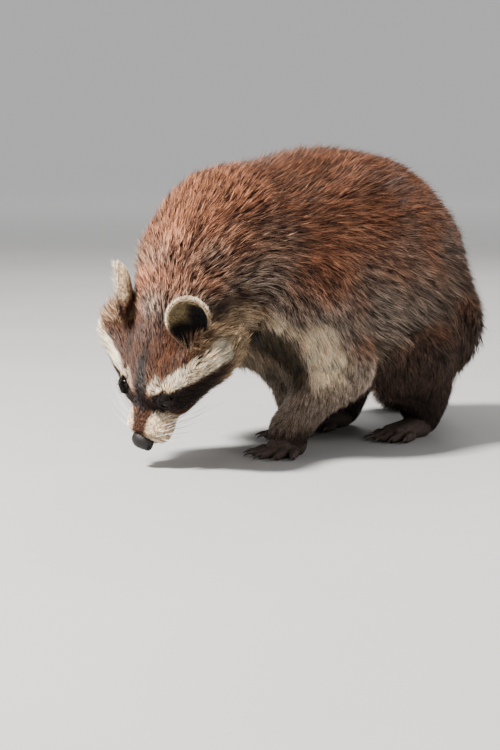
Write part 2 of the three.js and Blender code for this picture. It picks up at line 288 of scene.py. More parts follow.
def digit_lines():
    """Each digit's name, root, direction along the floor and length."""
    for end, stance in STANCES:
        d = DIGITS[end]
        for side in SIDES:
            x, y = stance[side][0]
            for i, length in enumerate(d["length"]):
                fan = (i - (DIGIT_COUNT - 1) / 2) * side
                root = vec(x + fan * d["across"] * 1.3, y + 10 - d["reach"] + abs(fan) * 2, DIGIT_HEIGHT)
                ahead = turn(2, 180 + fan * d["spread"]) @ vec(0, 1, 0)
                yield f"{end}paw_{SIDE_NAME[side]}_{i + 1}", end, root, ahead, length


def paws():
    made = []
    for end, stance in STANCES:
        d = DIGITS[end]
        for side in SIDES:
            x, y = stance[side][0]
            for s in SIDES:
                heel, ball = [x + 3 * s, y + 12, 10], [x + d["across"] * s, y + 6 - d["reach"], 8]
                made.append(Mass(heel, 12, ball, 9, 8, (1.2, 1), None, end))
    for _, end, root, ahead, length in digit_lines():
        knuckles = [
            [*(root + UP * 0.5), 5.4, 0.6],
            [*(root + ahead * length * 0.5 + UP * 0.9), 4.7, 0.5],
            [*(root + ahead * (length - 3) - UP * 0.6), 3.9, 0.4],
        ]
        made += chain(knuckles, 2.5, end)
    return made


def skull():
    """Cranium, forehead, cheeks, whisker pads, muzzle and jaw, in the head's frame."""
    back = (0, 1, 0)

    def dome(centre, size, blend, depth):
        return Mass(centre, 0, None, None, blend, depth, back, "head", True, vec(*size))

    def roll(a, ra, b, rb, blend, depth, flow=back):
        return Mass(a, ra, b, rb, blend, depth, flow, "head", True)

    made = [dome([0, 46, 2], [47, 50, 36], 16, 6.5), dome([0, 14, 6], [34, 30, 24], 14, 3.6)]
    for s in SIDES:
        made += [
            roll([23 * s, 2, -1.5], 20, [55.5 * s, 46, 13.5], 25.5, 14, (3.2, 8), (0.5 * s, 1, 0)),
            roll([55.5 * s, 46, 13.5], 25.5, [50 * s, 63, -8], 24, 10, (8, 12), (0.5 * s, 1, -0.5)),
            dome([11.5 * s, -31, -11], [14.5, 19, 14], 8, 1.3),
        ]
    return made + [
        roll([0, 8, -8], 26, [0, -38, -9], 13, 14, (3, 1)),
        roll([0, 26, -28], 20, [0, -30, -25], 9, 12, (5, 2)),
    ]


BODY = chain(SPINE, 20, "trunk") + chain(NECK, 25, "neck", NECK_FLOW) + legs() + chain(TAIL, 14, "tail")
COAT = BODY + skull()
ALL = COAT + paws()


# ---- the skin's field


def to_line(q, line):
    """Distance from points to a polyline, and how far along it, from 0 to 1, the nearest place is."""
    best = np.full(len(q), 1e9)
    at = np.zeros(len(q))
    lengths = norm(np.diff(line, axis=0))
    starts = np.concatenate([[0], np.cumsum(lengths)]) / lengths.sum()
    for k, (a, b) in enumerate(zip(line, line[1:])):
        t = np.clip((q - a) @ (b - a) / ((b - a) @ (b - a)), 0, 1)
        d = norm(q - a - t[:, None] * (b - a))
        closer = d < best
        best = np.where(closer, d, best)
        at = np.where(closer, starts[k] + (starts[k + 1] - starts[k]) * t, at)
    return best, at


def carve(f, g, blend):
    """The field f with g's inside taken away over a soft edge."""
    h = np.maximum(blend - np.abs(f + g), 0) / blend
    return np.maximum(f, -g) + h * h * blend / 4


def skin_field(p):
    """The masses less the coat's depth, with eye sockets, a seat for the nose and a line for the mouth."""
    d, found = melt(p, ALL, 1)
    f = d + found[:, DEPTH]
    q = half_head(p)
    face = norm(q - vec(0, -15, 0)) < 62
    if face.any():
        h, fh = q[face], f[face]
        fh = carve(fh, norm(h - EYE_AT) - EYE_SOCKET, 0.8)
        fh = carve(fh, to_line(h, MOUTH)[0] - 0.9, 1.6)
        fh = carve(fh, np.maximum(h[:, 1] - NOSE_BACK - h[:, 0] * 0.1, LIP_TOP - h[:, 2]), 3)
        f[face] = fh
    return np.maximum(f, 0.15 - p[:, 2])


def coat_field(p):
    return melt(p, COAT)[0]


def gradient(field, p, e=0.35):
    steps = np.eye(3) * e
    return np.stack([(field(p + s) - field(p - s)) / (2 * e) for s in steps], -1)


def ear_place(side):
    """The ear's own axes (across, back, up its length) as columns in the head's frame, and its base."""
    axis = unit(EAR_AXIS[side])
    across = unit(np.cross(mirrored(-EAR_OPENING, side), axis))
    return np.column_stack([across, np.cross(axis, across), axis]), mirrored(EAR_BASE, side)


def ear_levels(p, side):
    """Distances to the ear, to its shell and to its hollow, and the place on the ear's own axes."""
    basis, base = ear_place(side)
    e = (to_head(p) - base) @ basis
    long = EAR_LENGTH * 0.58
    shell = egg(e, UP * EAR_LENGTH * 0.45, vec(EAR_WIDTH - 1.6, EAR_THICK - 1.8, long - 1.8))
    cup = vec(EAR_WIDTH - 2.7, EAR_CUP + 1.6, long - 2.9)
    hollow = egg(e, vec(0, EAR_WALL - EAR_CUP, EAR_LENGTH * 0.48), cup)
    return carve(shell, hollow, EAR_EDGE), shell, hollow, e


# ---- meshing


def surface_net(field, low, high, h):
    """Triangles round the zero level of field, on cells h across. Blocks far from it are skipped."""
    n = 4
    blocks = np.ceil((high - low) / h / n).astype(int)
    b = np.stack(np.meshgrid(*[np.arange(k) for k in blocks], indexing="ij"), -1).reshape(-1, 3)
    f = field(low + (b * n + n / 2) * h)
    far = np.where(f < 0, -1e3, 1e3).reshape(blocks)
    for d in range(3):
        far = np.repeat(far, n, axis=d)
    values = np.pad(far, ((0, 1),) * 3, mode="edge")
    inner = np.stack(np.meshgrid(*[np.arange(n + 1)] * 3, indexing="ij"), -1).reshape(-1, 3)
    nodes = (b[np.abs(f) < n * h * 1.2][:, None] * n + inner).reshape(-1, 3)
    nodes = np.unique(np.ravel_multi_index(nodes.T, values.shape))
    index = np.stack(np.unravel_index(nodes, values.shape), -1)
    values.reshape(-1)[nodes] = field(low + index * h)

    # one point in each cell that the surface crosses, amid its crossings of the cell's edges
    inside = values < 0
    count = np.array(values.shape)
    corner_cells = [tuple(slice(c[d], count[d] - 1 + c[d]) for d in range(3)) for c in CORNERS]
    total = sum(inside[cell].astype(np.int8) for cell in corner_cells)
    cells = np.argwhere((total > 0) & (total < len(CORNERS)))
    at = np.stack([values[tuple((cells + c).T)] for c in CORNERS], 1)
    place, hits = np.zeros((len(cells), 3)), np.zeros(len(cells))
    for a, c in EDGES:
        va, vc = at[:, a], at[:, c]
        crossed = (va < 0) != (vc < 0)
        t = np.where(crossed, va / np.where(crossed, va - vc, 1), 0)
        place += np.where(crossed[:, None], CORNERS[a] + (CORNERS[c] - CORNERS[a]) * t[:, None], 0)
        hits += crossed
    points = low + (cells + place / hits[:, None]) * h
    number = np.full(count - 1, -1, np.int64)
    number[tuple(cells.T)] = np.arange(len(cells))

    # two triangles for each grid edge that the surface crosses
    faces = []
    axes = np.eye(3, dtype=int)
    for d in range(3):
        u, w, ahead = axes[(d + 1) % 3], axes[(d + 2) % 3], axes[d]
        lo = inside[tuple(slice(0, count[k] - ahead[k]) for k in range(3))]
        hi = inside[tuple(slice(ahead[k], count[k]) for k in range(3))]
        e = np.argwhere(lo != hi)
        e = e[(e > 0).all(1) & (e < count - 1).all(1)]
        around = ((0, 0), (1, 0), (1, 1), (0, 1))
        ring = np.stack([number[tuple((e - i * u - j * w).T)] for i, j in around], 1)
        ring = np.where(inside[tuple(e.T)][:, None], ring, ring[:, ::-1])
        faces += [ring[:, [0, 1, 2]], ring[:, [0, 2, 3]]]
    return points, np.concatenate(faces)


def refine(points, faces, wanted):
    """Splits in two every edge with both ends wanted."""
    n = len(points)
    e = np.sort(faces[:, [0, 1, 1, 2, 2, 0]].reshape(-1, 2), axis=1)
    keys, back = np.unique(e[:, 0] * n + e[:, 1], return_inverse=True)
    ends = np.stack([keys // n, keys % n], 1)
    split = wanted[ends].all(1)
    middle = np.full(len(keys), -1)
    middle[split] = n + np.arange(split.sum())
    m = middle[back].reshape(-1, 3)
    points = np.concatenate([points, points[ends[split]].mean(1)])
    number = (m >= 0).sum(1)
    (a, b, c), (ab, bc, ca) = faces[number == 3].T, m[number == 3].T
    quarters = ((a, ab, ca), (ab, b, bc), (ca, bc, c), (ab, bc, ca))
    out = [faces[number == 0], *[np.stack(tri, 1) for tri in quarters]]
    for r in range(3):
        one = (number == 1) & (m[:, r] >= 0)
        a, b, c = np.roll(faces[one], -r, axis=1).T
        out += [np.stack([a, m[one, r], c], 1), np.stack([m[one, r], b, c], 1)]
    return points, np.concatenate(out)


def on_level(points, field, steps=2):
    """Points moved on to the field's zero level."""
    for _ in range(steps):
        g = gradient(field, points)
        move = g * (field(points) / np.maximum(dot(g, g), 0.3))[:, None]
        length = norm(move)[:, None]
        points = points - move * np.minimum(1, 1.2 / np.maximum(length, 1e-9))
    return points


def relax(points, faces, share=0.5):
    """Each point moves towards the middle of its neighbours."""
    e = faces[:, [0, 1, 1, 2, 2, 0]].reshape(-1, 2)
    e = np.concatenate([e, e[:, ::-1]])
    total = np.stack([np.bincount(e[:, 0], points[e[:, 1], d], len(points)) for d in range(3)], -1)
    count = np.bincount(e[:, 0], minlength=len(points))[:, None]
    return points + (total / np.maximum(count, 1) - points) * share


def tube_faces(rings, around, looped=False):
    """Triangles between rings of points, and from the last ring to the first one when looped."""
    i, j = np.meshgrid(np.arange(rings if looped else rings - 1), np.arange(around), indexing="ij")
    i2, j2 = (i + 1) % rings, (j + 1) % around
    a, b, c, d = i * around + j, i * around + j2, i2 * around + j2, i2 * around + j
    return np.concatenate([np.stack([a, b, c], -1).reshape(-1, 3), np.stack([a, c, d], -1).reshape(-1, 3)])


def outward(points, faces):
    """The faces of a closed shape, turned to look out of it."""
    tri = points[faces] - points.mean(0)
    return faces if dot(tri[:, 0], np.cross(tri[:, 1], tri[:, 2])).sum() > 0 else faces[:, ::-1]


def closed_tube(axis, u, v, around):
    """A tube round the points of axis, with half widths u and v at each, closed to a point at either end."""
    c, s = circle(around)
    rings = axis[:, None] + c[None, :, None] * u[:, None] + s[None, :, None] * v[:, None]
    n = len(axis)
    j, j2 = np.arange(around), (np.arange(around) + 1) % around
    points = np.concatenate([rings.reshape(-1, 3), rings[0].mean(0)[None], rings[-1].mean(0)[None]])
    first = np.stack([np.full(around, n * around), j2, j], 1)
    last = np.stack([np.full(around, n * around + 1), (n - 1) * around + j, (n - 1) * around + j2], 1)
    return points, outward(points, np.concatenate([tube_faces(n, around), first, last]))


def joined(shapes):
    """The points and faces of several shapes as one set."""
    points, faces = zip(*shapes)
    starts = np.cumsum([0] + [len(p) for p in points])
    return np.concatenate(points), np.concatenate([f + k for f, k in zip(faces, starts)])


def make_mesh(name, points, faces):
    """A smooth mesh object from points in millimetres in the animal's frame."""
    mesh = bpy.data.meshes.new(name)
    mesh.vertices.add(len(points))
    mesh.vertices.foreach_set("co", placed(points).astype(np.float32).ravel())
    mesh.loops.add(faces.size)
    mesh.loops.foreach_set("vertex_index", faces.astype(np.int32).ravel())
    mesh.polygons.add(len(faces))
    mesh.polygons.foreach_set("loop_start", np.arange(0, faces.size, faces.shape[1], dtype=np.int32))
    mesh.update(calc_edges=True)
    mesh.shade_smooth()
    obj = bpy.data.objects.new(name, mesh)
    bpy.context.scene.collection.objects.link(obj)
    return obj


def read(items, key, width, kind=np.float32):
    """One property of a Blender collection as rows of width numbers."""
    values = np.zeros(len(items) * width, kind)
    items.foreach_get(key, values)
    return values.reshape(-1, width)


def points_of(obj):
    return read(obj.data.vertices, "co", 3).astype(float) / MM - SHIFT


def set_colours(obj, name, colours):
    layer = obj.data.color_attributes.new(name, "FLOAT_COLOR", "POINT")
    layer.data.foreach_set("color", np.insert(colours, 3, 1, axis=1).astype(np.float32).ravel())


def fuse(obj, others):
    """Joins closed meshes to obj as one surface."""
    for other in others:
        boolean = obj.modifiers.new("join", "BOOLEAN")
        boolean.operation = "UNION"
        boolean.solver = "MANIFOLD"
        boolean.object = other
    graph = bpy.context.evaluated_depsgraph_get()
    mesh = bpy.data.meshes.new_from_object(obj.evaluated_get(graph))
    obj.modifiers.clear()
    obj.data = mesh
    for other in others:
        bpy.data.objects.remove(other)
    mesh.shade_smooth()


# ---- the skin

LID_POINTS, EYE_OPENING, LID_SIZE = 40, (6.3, 3.1), (9.0, 8.4)
# the lid's section: share of the way from the opening to the rim, and distance from the eye's middle
LID_OUTSIDE = [(0.0, 7.35), (0.03, 7.9), (0.14, 8.3), (0.35, 8.6), (0.65, 8.9), (0.9, 9.3)]
LID_SECTION = LID_OUTSIDE + [(1.0, 9.2), (0.8, 8.0), (0.3, 7.2)]
SKIN_CELL, EAR_CELL, NOSE_CELL = ((3.0, 1.1, 0.5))


def eye_axes(side):
    """The eye's outward, corner-to-corner and upward directions in the head's frame."""
    out = unit(EYE_LOOK)
    along = unit(EYE_CORNERS - out * (EYE_CORNERS @ out))
    up = np.cross(along, out)
    return [mirrored(a, side) for a in (out, along, up * np.sign(up[2]))]


def lid_ring(side):
    """Both eyelids as one closed ring over the eyeball, with an almond opening."""
    out, along, up = eye_axes(side)
    c, s = circle(LID_POINTS)
    opening = np.stack([EYE_OPENING[0] * c, EYE_OPENING[1] * np.sign(s) * np.abs(s) ** 0.85], 1)
    rim = np.stack([LID_SIZE[0] * c, LID_SIZE[1] * s], 1)
    rings = []
    for share, radius in LID_SECTION:
        plane = opening + (rim - opening) * share
        depth = np.sqrt(np.maximum(radius**2 - dot(plane, plane), 1.0))
        rings.append(depth[:, None] * out + plane[:, :1] * along + plane[:, 1:] * up)
    points = from_head(np.concatenate(rings) + mirrored(EYE_AT, side))
    return points, outward(points, tube_faces(len(LID_SECTION), LID_POINTS, looped=True))


def build_skin():
    """The whole skin, finer on the head and paws, finer again on the face and finest round the eyes."""
    low, high = (vec(*corner) / MM - SHIFT for corner in cad_box)
    points, faces = surface_net(skin_field, low - 6.3, high + 6.3, SKIN_CELL)
    points = on_level(points, skin_field, 1)
    zones = [
        lambda p: (norm(to_head(p) - vec(0, 15, 0)) < 85) | (p[:, 2] < 34) & (p[:, 1] < 130),
        lambda p: (norm(to_head(p) - vec(0, -20, 0)) < 44) & (p[:, 1] < -180),
        lambda p: norm(half_head(p) - EYE_AT - vec(3, -2, 2)) < 13,
    ]
    for zone in zones:
        points, faces = refine(points, faces, zone(points))
        points = on_level(relax(points, faces), skin_field)
    skin = make_mesh("skin", points, faces)
    extra = []
    for side in SIDES:

        def ear_field(p):
            return ear_levels(p, side)[0]

        basis, base = ear_place(side)
        middle = from_head(base + basis @ (UP * EAR_LENGTH * 0.45))
        points, faces = surface_net(ear_field, middle - 34.3, middle + 34.1, EAR_CELL)
        extra.append(make_mesh(f"ear_{side}", on_level(points, ear_field, 1), faces))
        extra.append(make_mesh(f"lid_{side}", *lid_ring(side)))
    fuse(skin, extra)
    return skin


def unwrap(obj):
    bpy.context.view_layer.objects.active = obj
    obj.select_set(True)
    bpy.ops.object.mode_set(mode="EDIT")
    bpy.ops.mesh.select_all(action="SELECT")
    bpy.ops.uv.smart_project(angle_limit=math.radians(66), island_margin=0.002)
    bpy.ops.object.mode_set(mode="OBJECT")
    obj.data.uv_layers[0].name = "OFBake"


# ---- markings


def hair(body, tip):
    """The colours of a kind of hair, along its body and at a pale tip."""
    return np.stack([paint(*body), paint(*tip)])


BACK = hair((80, 39, 24), (224, 154, 114))
CROWN = hair((44, 22, 12), (124, 79, 52))
FLANK = hair((34, 23, 19), (204, 180, 160))
BELLY = hair((140, 118, 94), (214, 192, 162))
CREAM = hair((252, 226, 188), (255, 248, 226))
MASK = hair((18, 12, 10), (58, 39, 31))
BRIDGE = hair((50, 27, 17), (124, 78, 52))
# the coat's own dark olive, darkened further as painted shade
OLIVE_AND_SHADE = hair((20, 15, 9), (92, 77, 52))
TAN = hair((172, 134, 98), (234, 204, 164))
WEDGE = hair((252, 218, 176), (255, 243, 214))
GREY = hair((116, 98, 84), (202, 184, 166))
LEG = hair((58, 43, 37), (112, 90, 78))
PAW = hair((74, 62, 58), (128, 112, 104))
RING_DARK = hair((38, 28, 25), (64, 50, 44))
RING_PALE = hair((156, 132, 108), (206, 186, 160))
EAR_BACK = hair((150, 122, 92), (238, 216, 182))
EAR_IN = hair((134, 114, 80), (214, 194, 152))
# painted shade: a near-black for the ear's hollow where shade falls
EAR_HOLLOW_SHADE = paint(16, 12, 11) * vec(1, 2)[:, None]
CHEST = GREY[0], TAN[1]
SHIN = GREY[0] * vec(0.85, 0.84, 0.9), GREY[1]
BAND = TAN[0], WEDGE[1]
CHEEK = TAN[0] * 0.8, TAN[1]
# the nape's darker coat, partly its own colour and partly painted shade
NAPE = BACK[0] * 0.7, BACK[1] * 0.8
RUFF = TAN[0] * 0.56, TAN[1]
INNER_BROW = TAN[0] * vec(1.05, 0.9, 0.78), CREAM[1]
CHEEK_MASK = MASK[0] * 1.5, CROWN[1] * 0.5
EYE_CORNER = BRIDGE[0] * 0.6, BRIDGE[0]
MIDLINE = MASK[0], BRIDGE[0] * 0.6
# a dark colour for hair roots and, as painted shade, for the skin under long coat; and one for dark hairs
DARK_ROOT_AND_SHADE, DARK_HAIR = paint(40, 29, 26), paint(38, 26, 23)
LID_SKIN, LID_EDGE, LIP_SKIN = paint(11, 8, 7), paint(92, 62, 54), paint(28, 20, 20)

# lines through the middle of each marking, on the coat's surface on the left side, each point with its half
# width: the face's and neck's in the head's frame, and the foreleg's and the band to it in the body's
INNER_BROW_LINE = [[12, -7, 20, 3.5], [15, 1, 25, 4.5], [19, 9, 29, 3]]
BROW_LINE = [[20, -1, 22, 3.8], [36, 11, 23, 7.4], [54, 24, 27, 9.6], [68, 39, 28, 11], [76, 56, 20, 12]]
EYE_LINE = [[0, -15, 15, 3], [11, -14, 14, 7], [22, -10, 13, 10.5]]
MASK_LINE = [*EYE_LINE, [40, 0, 9, 13], [58, 15, 11, 12], [75, 30, 17, 6]]
CHEEK_LINE = [[26, -6, -4, 6], [42, 4, -6, 11], [58, 18, -4, 11], [70, 30, 2, 7]]
RUFF_LINE = [[72, 70, 12, 16], [66, 86, -6, 20], [68, 96, -26, 16]]
NAPE_LINE = [[50, 74, 25, 9], [52, 92, 10, 13], [55, 107, -6, 12]]
BAND_LINE = [[57, -170, 138, 12], [68, -162, 143, 8], [78, -150, 139, 8], [86, -134, 124, 10]]
ARMPIT_LINE = [[38, -154, 120, 18], [60, -128, 104, 25], [56, -104, 74, 22]]
WEDGE_LINE = [[96, -118, 122, 13], [99, -98, 94, 19], [88, -92, 66, 15]]
TAIL_LENGTH, RING_STEP, RING_START = 308, 43, 30
# each row of whiskers from front to back, as length and height in the head's frame
WHISKER_TOP = [((-41, -3), (-24, 0)), ((-42, -7.5), (-23, -5.5))]
WHISKER_ROWS, WHISKERS_IN_ROW = WHISKER_TOP + [((-41, -12), (-22, -11)), ((-38, -16), (-23, -16))], 4


def band(p, line, soft, wobble):
    """How far each point lies in a marking round a line: 1 inside, 0 outside."""
    places = [vec(*s[:3]) for s in line]
    d, t = to_line(p, places)
    at = np.concatenate([[0], np.cumsum(norm(np.diff(places, axis=0)))])
    width = np.interp(t, at / at[-1], [s[3] for s in line])
    return smooth(soft, -soft, d - width + wobble)


def whisker_roots():
    share = np.linspace(0, 1, WHISKERS_IN_ROW)[:, None]
    return np.concatenate([vec(*a) + (vec(*b) - vec(*a)) * share for a, b in WHISKER_ROWS])


def arm_place(p):
    """Both forelegs' places as on the left one."""
    behind = np.interp(p[:, 2], [0, 95, 165], [93, 74, 0]) * (p[:, 0] < 0)
    return np.column_stack([np.abs(p[:, 0]), p[:, 1] - behind, p[:, 2]])


class Coat:
    """Colours of the hair's body and tips at points, and the shares of pale-tipped and dark hairs."""

    def __init__(self, count):
        self.base, self.tip = np.zeros((2, count, 3))
        self.pale, self.dark = np.zeros((2, count))

    def lay(self, share, colours, pale=0.3, dark=0.2):
        base, tip = colours
        self.base, self.tip = mix(self.base, base, share), mix(self.tip, tip, share)
        self.pale = self.pale + (pale - self.pale) * share
        self.dark = self.dark + (dark - self.dark) * share


def markings(p, up, found):
    """The coat at points of its surface, where up is the height of the surface's normal."""
    coat = Coat(len(p))
    parts = found[:, PART:]
    head, _, _, fore, hind, tail = parts.T / np.maximum(parts.sum(1), 1e-6)
    wobble = noise(p, 9, 3) * 1.6 + noise(p, 4, 4) * 0.9
    ragged = noise(p, 16, 7) * 4 + noise(p, 6, 8) * 2.5
    z = p[:, 2]

    # back, flanks, belly and thighs
    coat.lay(1, BACK, 0.34, 0.32)
    coat.lay(smooth(0.6, -0.3, up + noise(p, 26, 6) * 0.25), FLANK, 0.36, 0.34)
    # darker towards the rear and low on the sides: partly the haunch's own darker coat and partly painted
    # shade
    coat.lay(smooth(40, 130, p[:, 1]) * smooth(0.8, 0.2, up) * 0.7, FLANK * 0.7, 0.2, 0.4)
    coat.lay(smooth(-0.45, -0.9, up) * smooth(160, 110, z), BELLY)
    coat.lay(hind * smooth(0.75, 0.45, up) * 0.6, LEG, 0.25, 0.35)
    coat.lay(hind * smooth(140, 80, z), LEG, 0.25, 0.3)

    # forelegs: a dark hollow in front, its olive partly the coat's own and partly painted shade, a pale wedge
    # down the shoulder and a band from the ear to it
    a = arm_place(p)
    front = smooth(-40, -90, a[:, 1]) * smooth(0.4, 0.8, 1 - head)
    streaks = mix(TAN[0] * 0.8, WEDGE[0], smooth(-0.6, 0.2, noise(p, 9, 9)))
    coat.lay(fore * smooth(120, 80, z + ragged), GREY, 0.45, 0.15)
    coat.lay(smooth(-130, -175, p[:, 1]) * smooth(150, 130, z) * front, CHEST, 0.4, 0.2)
    # the coat's own dark olive with painted shade in the hollow in front of the foreleg
    coat.lay(band(a, ARMPIT_LINE, 7, ragged) * front, OLIVE_AND_SHADE, 0.35, 0.35)
    coat.lay(band(a, WEDGE_LINE, 9, ragged * 1.8) * front, (streaks, WEDGE[1]), 0.6, 0.18)
    coat.lay(band(a, BAND_LINE, 5, ragged) * front, BAND, 0.5, 0.26)
    coat.lay(fore * smooth(80, 56, z), SHIN, 0.35, 0.2)
    coat.lay(np.maximum(fore * smooth(30, 14, z), hind * smooth(46, 22, z)), PAW, 0.2, 0.2)

    # tail: dark and pale rings and a dark tip
    _, along = to_line(p, [vec(*s[:3]) for s in TAIL])
    ring = np.abs(((along * TAIL_LENGTH - RING_START + wobble) / RING_STEP) % 1 - 0.5)
    ring = np.maximum(smooth(0.22, 0.32, ring), smooth(0.85, 0.88, along))
    on_tail = tail * smooth(0.02, 0.1, along)
    coat.lay(on_tail * (1 - ring), RING_PALE, 0.4, 0.15)
    coat.lay(on_tail * ring, RING_DARK, 0.2, 0.3)

    # head: crown, cheeks and ruff
    q = half_head(p)
    x, y, h = q.T
    on_head = smooth(0.25, 0.7, head)
    near = np.maximum(on_head, smooth(-140, -165, p[:, 1]))
    coat.lay(on_head, CROWN, 0.28, 0.34)
    coat.lay(smooth(14, -6, h - (y - 30) * 0.12) * smooth(2, 18, y) * on_head, CHEEK, 0.5, 0.25)
    # the nape and a patch behind the ear darker: partly the coat's own dark patch and partly painted shade
    coat.lay(smooth(60, 84, y) * smooth(52, 30, x + ragged * 0.5) * on_head * 0.6, NAPE, 0.2, 0.4)
    coat.lay(band(q, NAPE_LINE, 6, ragged * 0.8) * near * 0.8, CROWN * 0.55, 0.25, 0.4)
    coat.lay(band(q, RUFF_LINE, 8, ragged * 1.4) * near * 0.85, RUFF, 0.45, 0.35)

    def on_face(share, colours, pale, dark):
        coat.lay(share * on_head, colours, pale, dark)

    # face: brow stripes, muzzle, reddish bridge with whisker spots beside it, mask and line up the forehead
    on_face(band(q, INNER_BROW_LINE, 2.5, ragged * 0.35) * 0.8, INNER_BROW, 0.5, 0.2)
    on_face(band(q, BROW_LINE, 1.8, wobble), CREAM, 0.85, 0.08)
    muzzle = smooth(-13, -20, y + wobble * 0.6 + h * 0.1)
    on_face(muzzle, CREAM, 0.8, 0.08)
    bridge = smooth(3.2, -3.2, x - 9.4 - smooth(-34, -16, y) * 6 + wobble)
    on_face(bridge * smooth(-6, 0, h) * smooth(-2, -10, y), BRIDGE, 0.35, 0.2)
    root = norm(q[:, None, 1:] - whisker_roots()).min(1)
    on_face(smooth(1.7, 0.7, root) * smooth(8, 12, x) * 0.45, MASK, 0, 0)
    on_face(band(q, CHEEK_LINE, 4, wobble * 1.4) * 0.9, CHEEK_MASK, 0.2, 0.4)
    on_face(band(q, MASK_LINE, 1.8, wobble * 1.1), MASK, 0.16, 0.4)
    corner = smooth(-8, -20, y) * smooth(26, 14, x) * smooth(-14, -4, h)
    on_face(corner * band(q, MASK_LINE, 3, 0) * 0.5, EYE_CORNER, 0.2, 0.3)
    on_face(smooth(12.5, 10.0, norm(q - EYE_AT)), MASK, 0.1, 0.4)
    middle = smooth(2.4, -2.4, x - 3.6 - smooth(24, 2, y) * 3.4 + wobble * 0.8)
    middle *= smooth(48, 20, y) * smooth(-26, -14, y) * smooth(0, 6, h)
    on_face(middle * 0.97, MIDLINE, 0.16, 0.4)

    # patches of light and shade, fainter on the face's plain markings
    plain = np.clip(band(q, BROW_LINE, 3, 0) + muzzle + band(q, MASK_LINE, 3, 0), 0, 1) * on_head
    patch = 0.18 * noise(p, 34, 5) + 0.22 * noise(p, 15, 10) + 0.16 * noise(p, 7, 14)
    shade = (1 + patch * (1 - 0.7 * plain))[:, None]
    coat.base, coat.tip = coat.base * shade, coat.tip * shade
    return coat


class Ears:
    """For points of the skin, the shares of ear, pale rim, hollow, painted shade deep in the hollow and foot
    on the head, and the way up the ear."""

    def __init__(self, p):
        self.on, self.rim, self.inside, self.deep, self.foot = np.zeros((5, len(p)))
        self.way = np.zeros((len(p), 3))
        coat_level = coat_field(p)
        for side in SIDES:
            level, shell, hollow, e = ear_levels(p, side)
            outer, height = e[:, 0] * side, e[:, 2]
            here = (np.abs(level) < 1.2) & (height > -4) & (coat_level > -2.5)
            inside = smooth(-0.6, 0.6, -shell - np.abs(hollow))
            rim = smooth(2.0, 0.9, np.abs(hollow)) * smooth(-1.9, -1.0, shell) * smooth(10, 22, height)
            rim *= 1 - 0.8 * smooth(2, 14, outer) * smooth(34, 24, height)
            # painted shade in the hollow on the ear's outer side, below its upper part, and low down in the
            # ear
            outer_shade = smooth(-5, 4, outer + noise(p, 5, 12) * 2) * smooth(44, 34, height)
            foot = smooth(25, 14, norm(e - vec(0, -3, 4)))
            self.on[here], self.rim[here], self.inside[here] = 1, rim[here], inside[here]
            self.deep[here] = np.maximum(outer_shade, smooth(18, 10, height))[here]
            self.foot = np.maximum(self.foot, foot)
            fan = unit((e - UP * EAR_LENGTH * 0.3) * vec(0.6, 0.2, 1) + UP * 12)
            fan = np.where(inside[:, None] > 0.5, unit(fan + vec(0, -0.8, 0.2)), fan)
            near = here | (foot > 0)
            self.way[near] = (fan @ ear_place(side)[0].T @ HEAD_TURN.T)[near]

    def lay(self, coat):
        """Lays the ears' own colours over the head's."""
        coat.lay(self.foot * (1 - self.on) * 0.5, CHEEK, 0.4, 0.25)
        coat.lay(self.on, EAR_BACK, 0.5, 0.15)
        coat.lay(self.on * self.foot * (1 - self.inside), CROWN, 0.35, 0.35)
        coat.lay(self.on * self.inside, EAR_IN, 0.4, 0.1)
        # painted shade darkens the hollow
        coat.lay(self.on * self.inside * self.deep, EAR_HOLLOW_SHADE, 0.1, 0.3)
        coat.lay(self.on * self.rim, CREAM, 0.9, 0.0)


def colour_skin(skin):
    """The skin under the coat takes the coat's own markings, with painted shade where the coat is long so
    that gaps between strands look deep.
    """
    points = points_of(skin)
    normals = read(skin.data.vertex_normals, "vector", 3).astype(float)
    _, found = melt(points, ALL, TRAITS)
    depth = found[:, DEPTH]
    coat = markings(points + normals * depth[:, None], normals[:, 2], found)
    ears = Ears(points)
    ears.lay(coat)
    long = np.where(ears.on > 0, 0, smooth(*LONG_COAT, depth))
    # painted shade: under long coat the skin takes a dark root colour
    tint = mix(mix(coat.base, coat.tip, 0.2), mix(DARK_ROOT_AND_SHADE, coat.base, 0.4), long)
    q = half_head(points)
    lid = smooth(12.5, 10.5, norm(q - EYE_AT))
    height = (q - EYE_AT) @ eye_axes(1)[2]
    tint = mix(tint, LID_SKIN, lid)
    tint = mix(tint, LID_EDGE, lid * smooth(-2.2, -2.8, height) * smooth(-4.4, -3.6, height) * 0.3)
    tint = mix(tint, LIP_SKIN, smooth(2.4, 1.2, to_line(q, MOUTH)[0]) * 0.9)
    set_colours(skin, "tint", tint)


# ---- materials


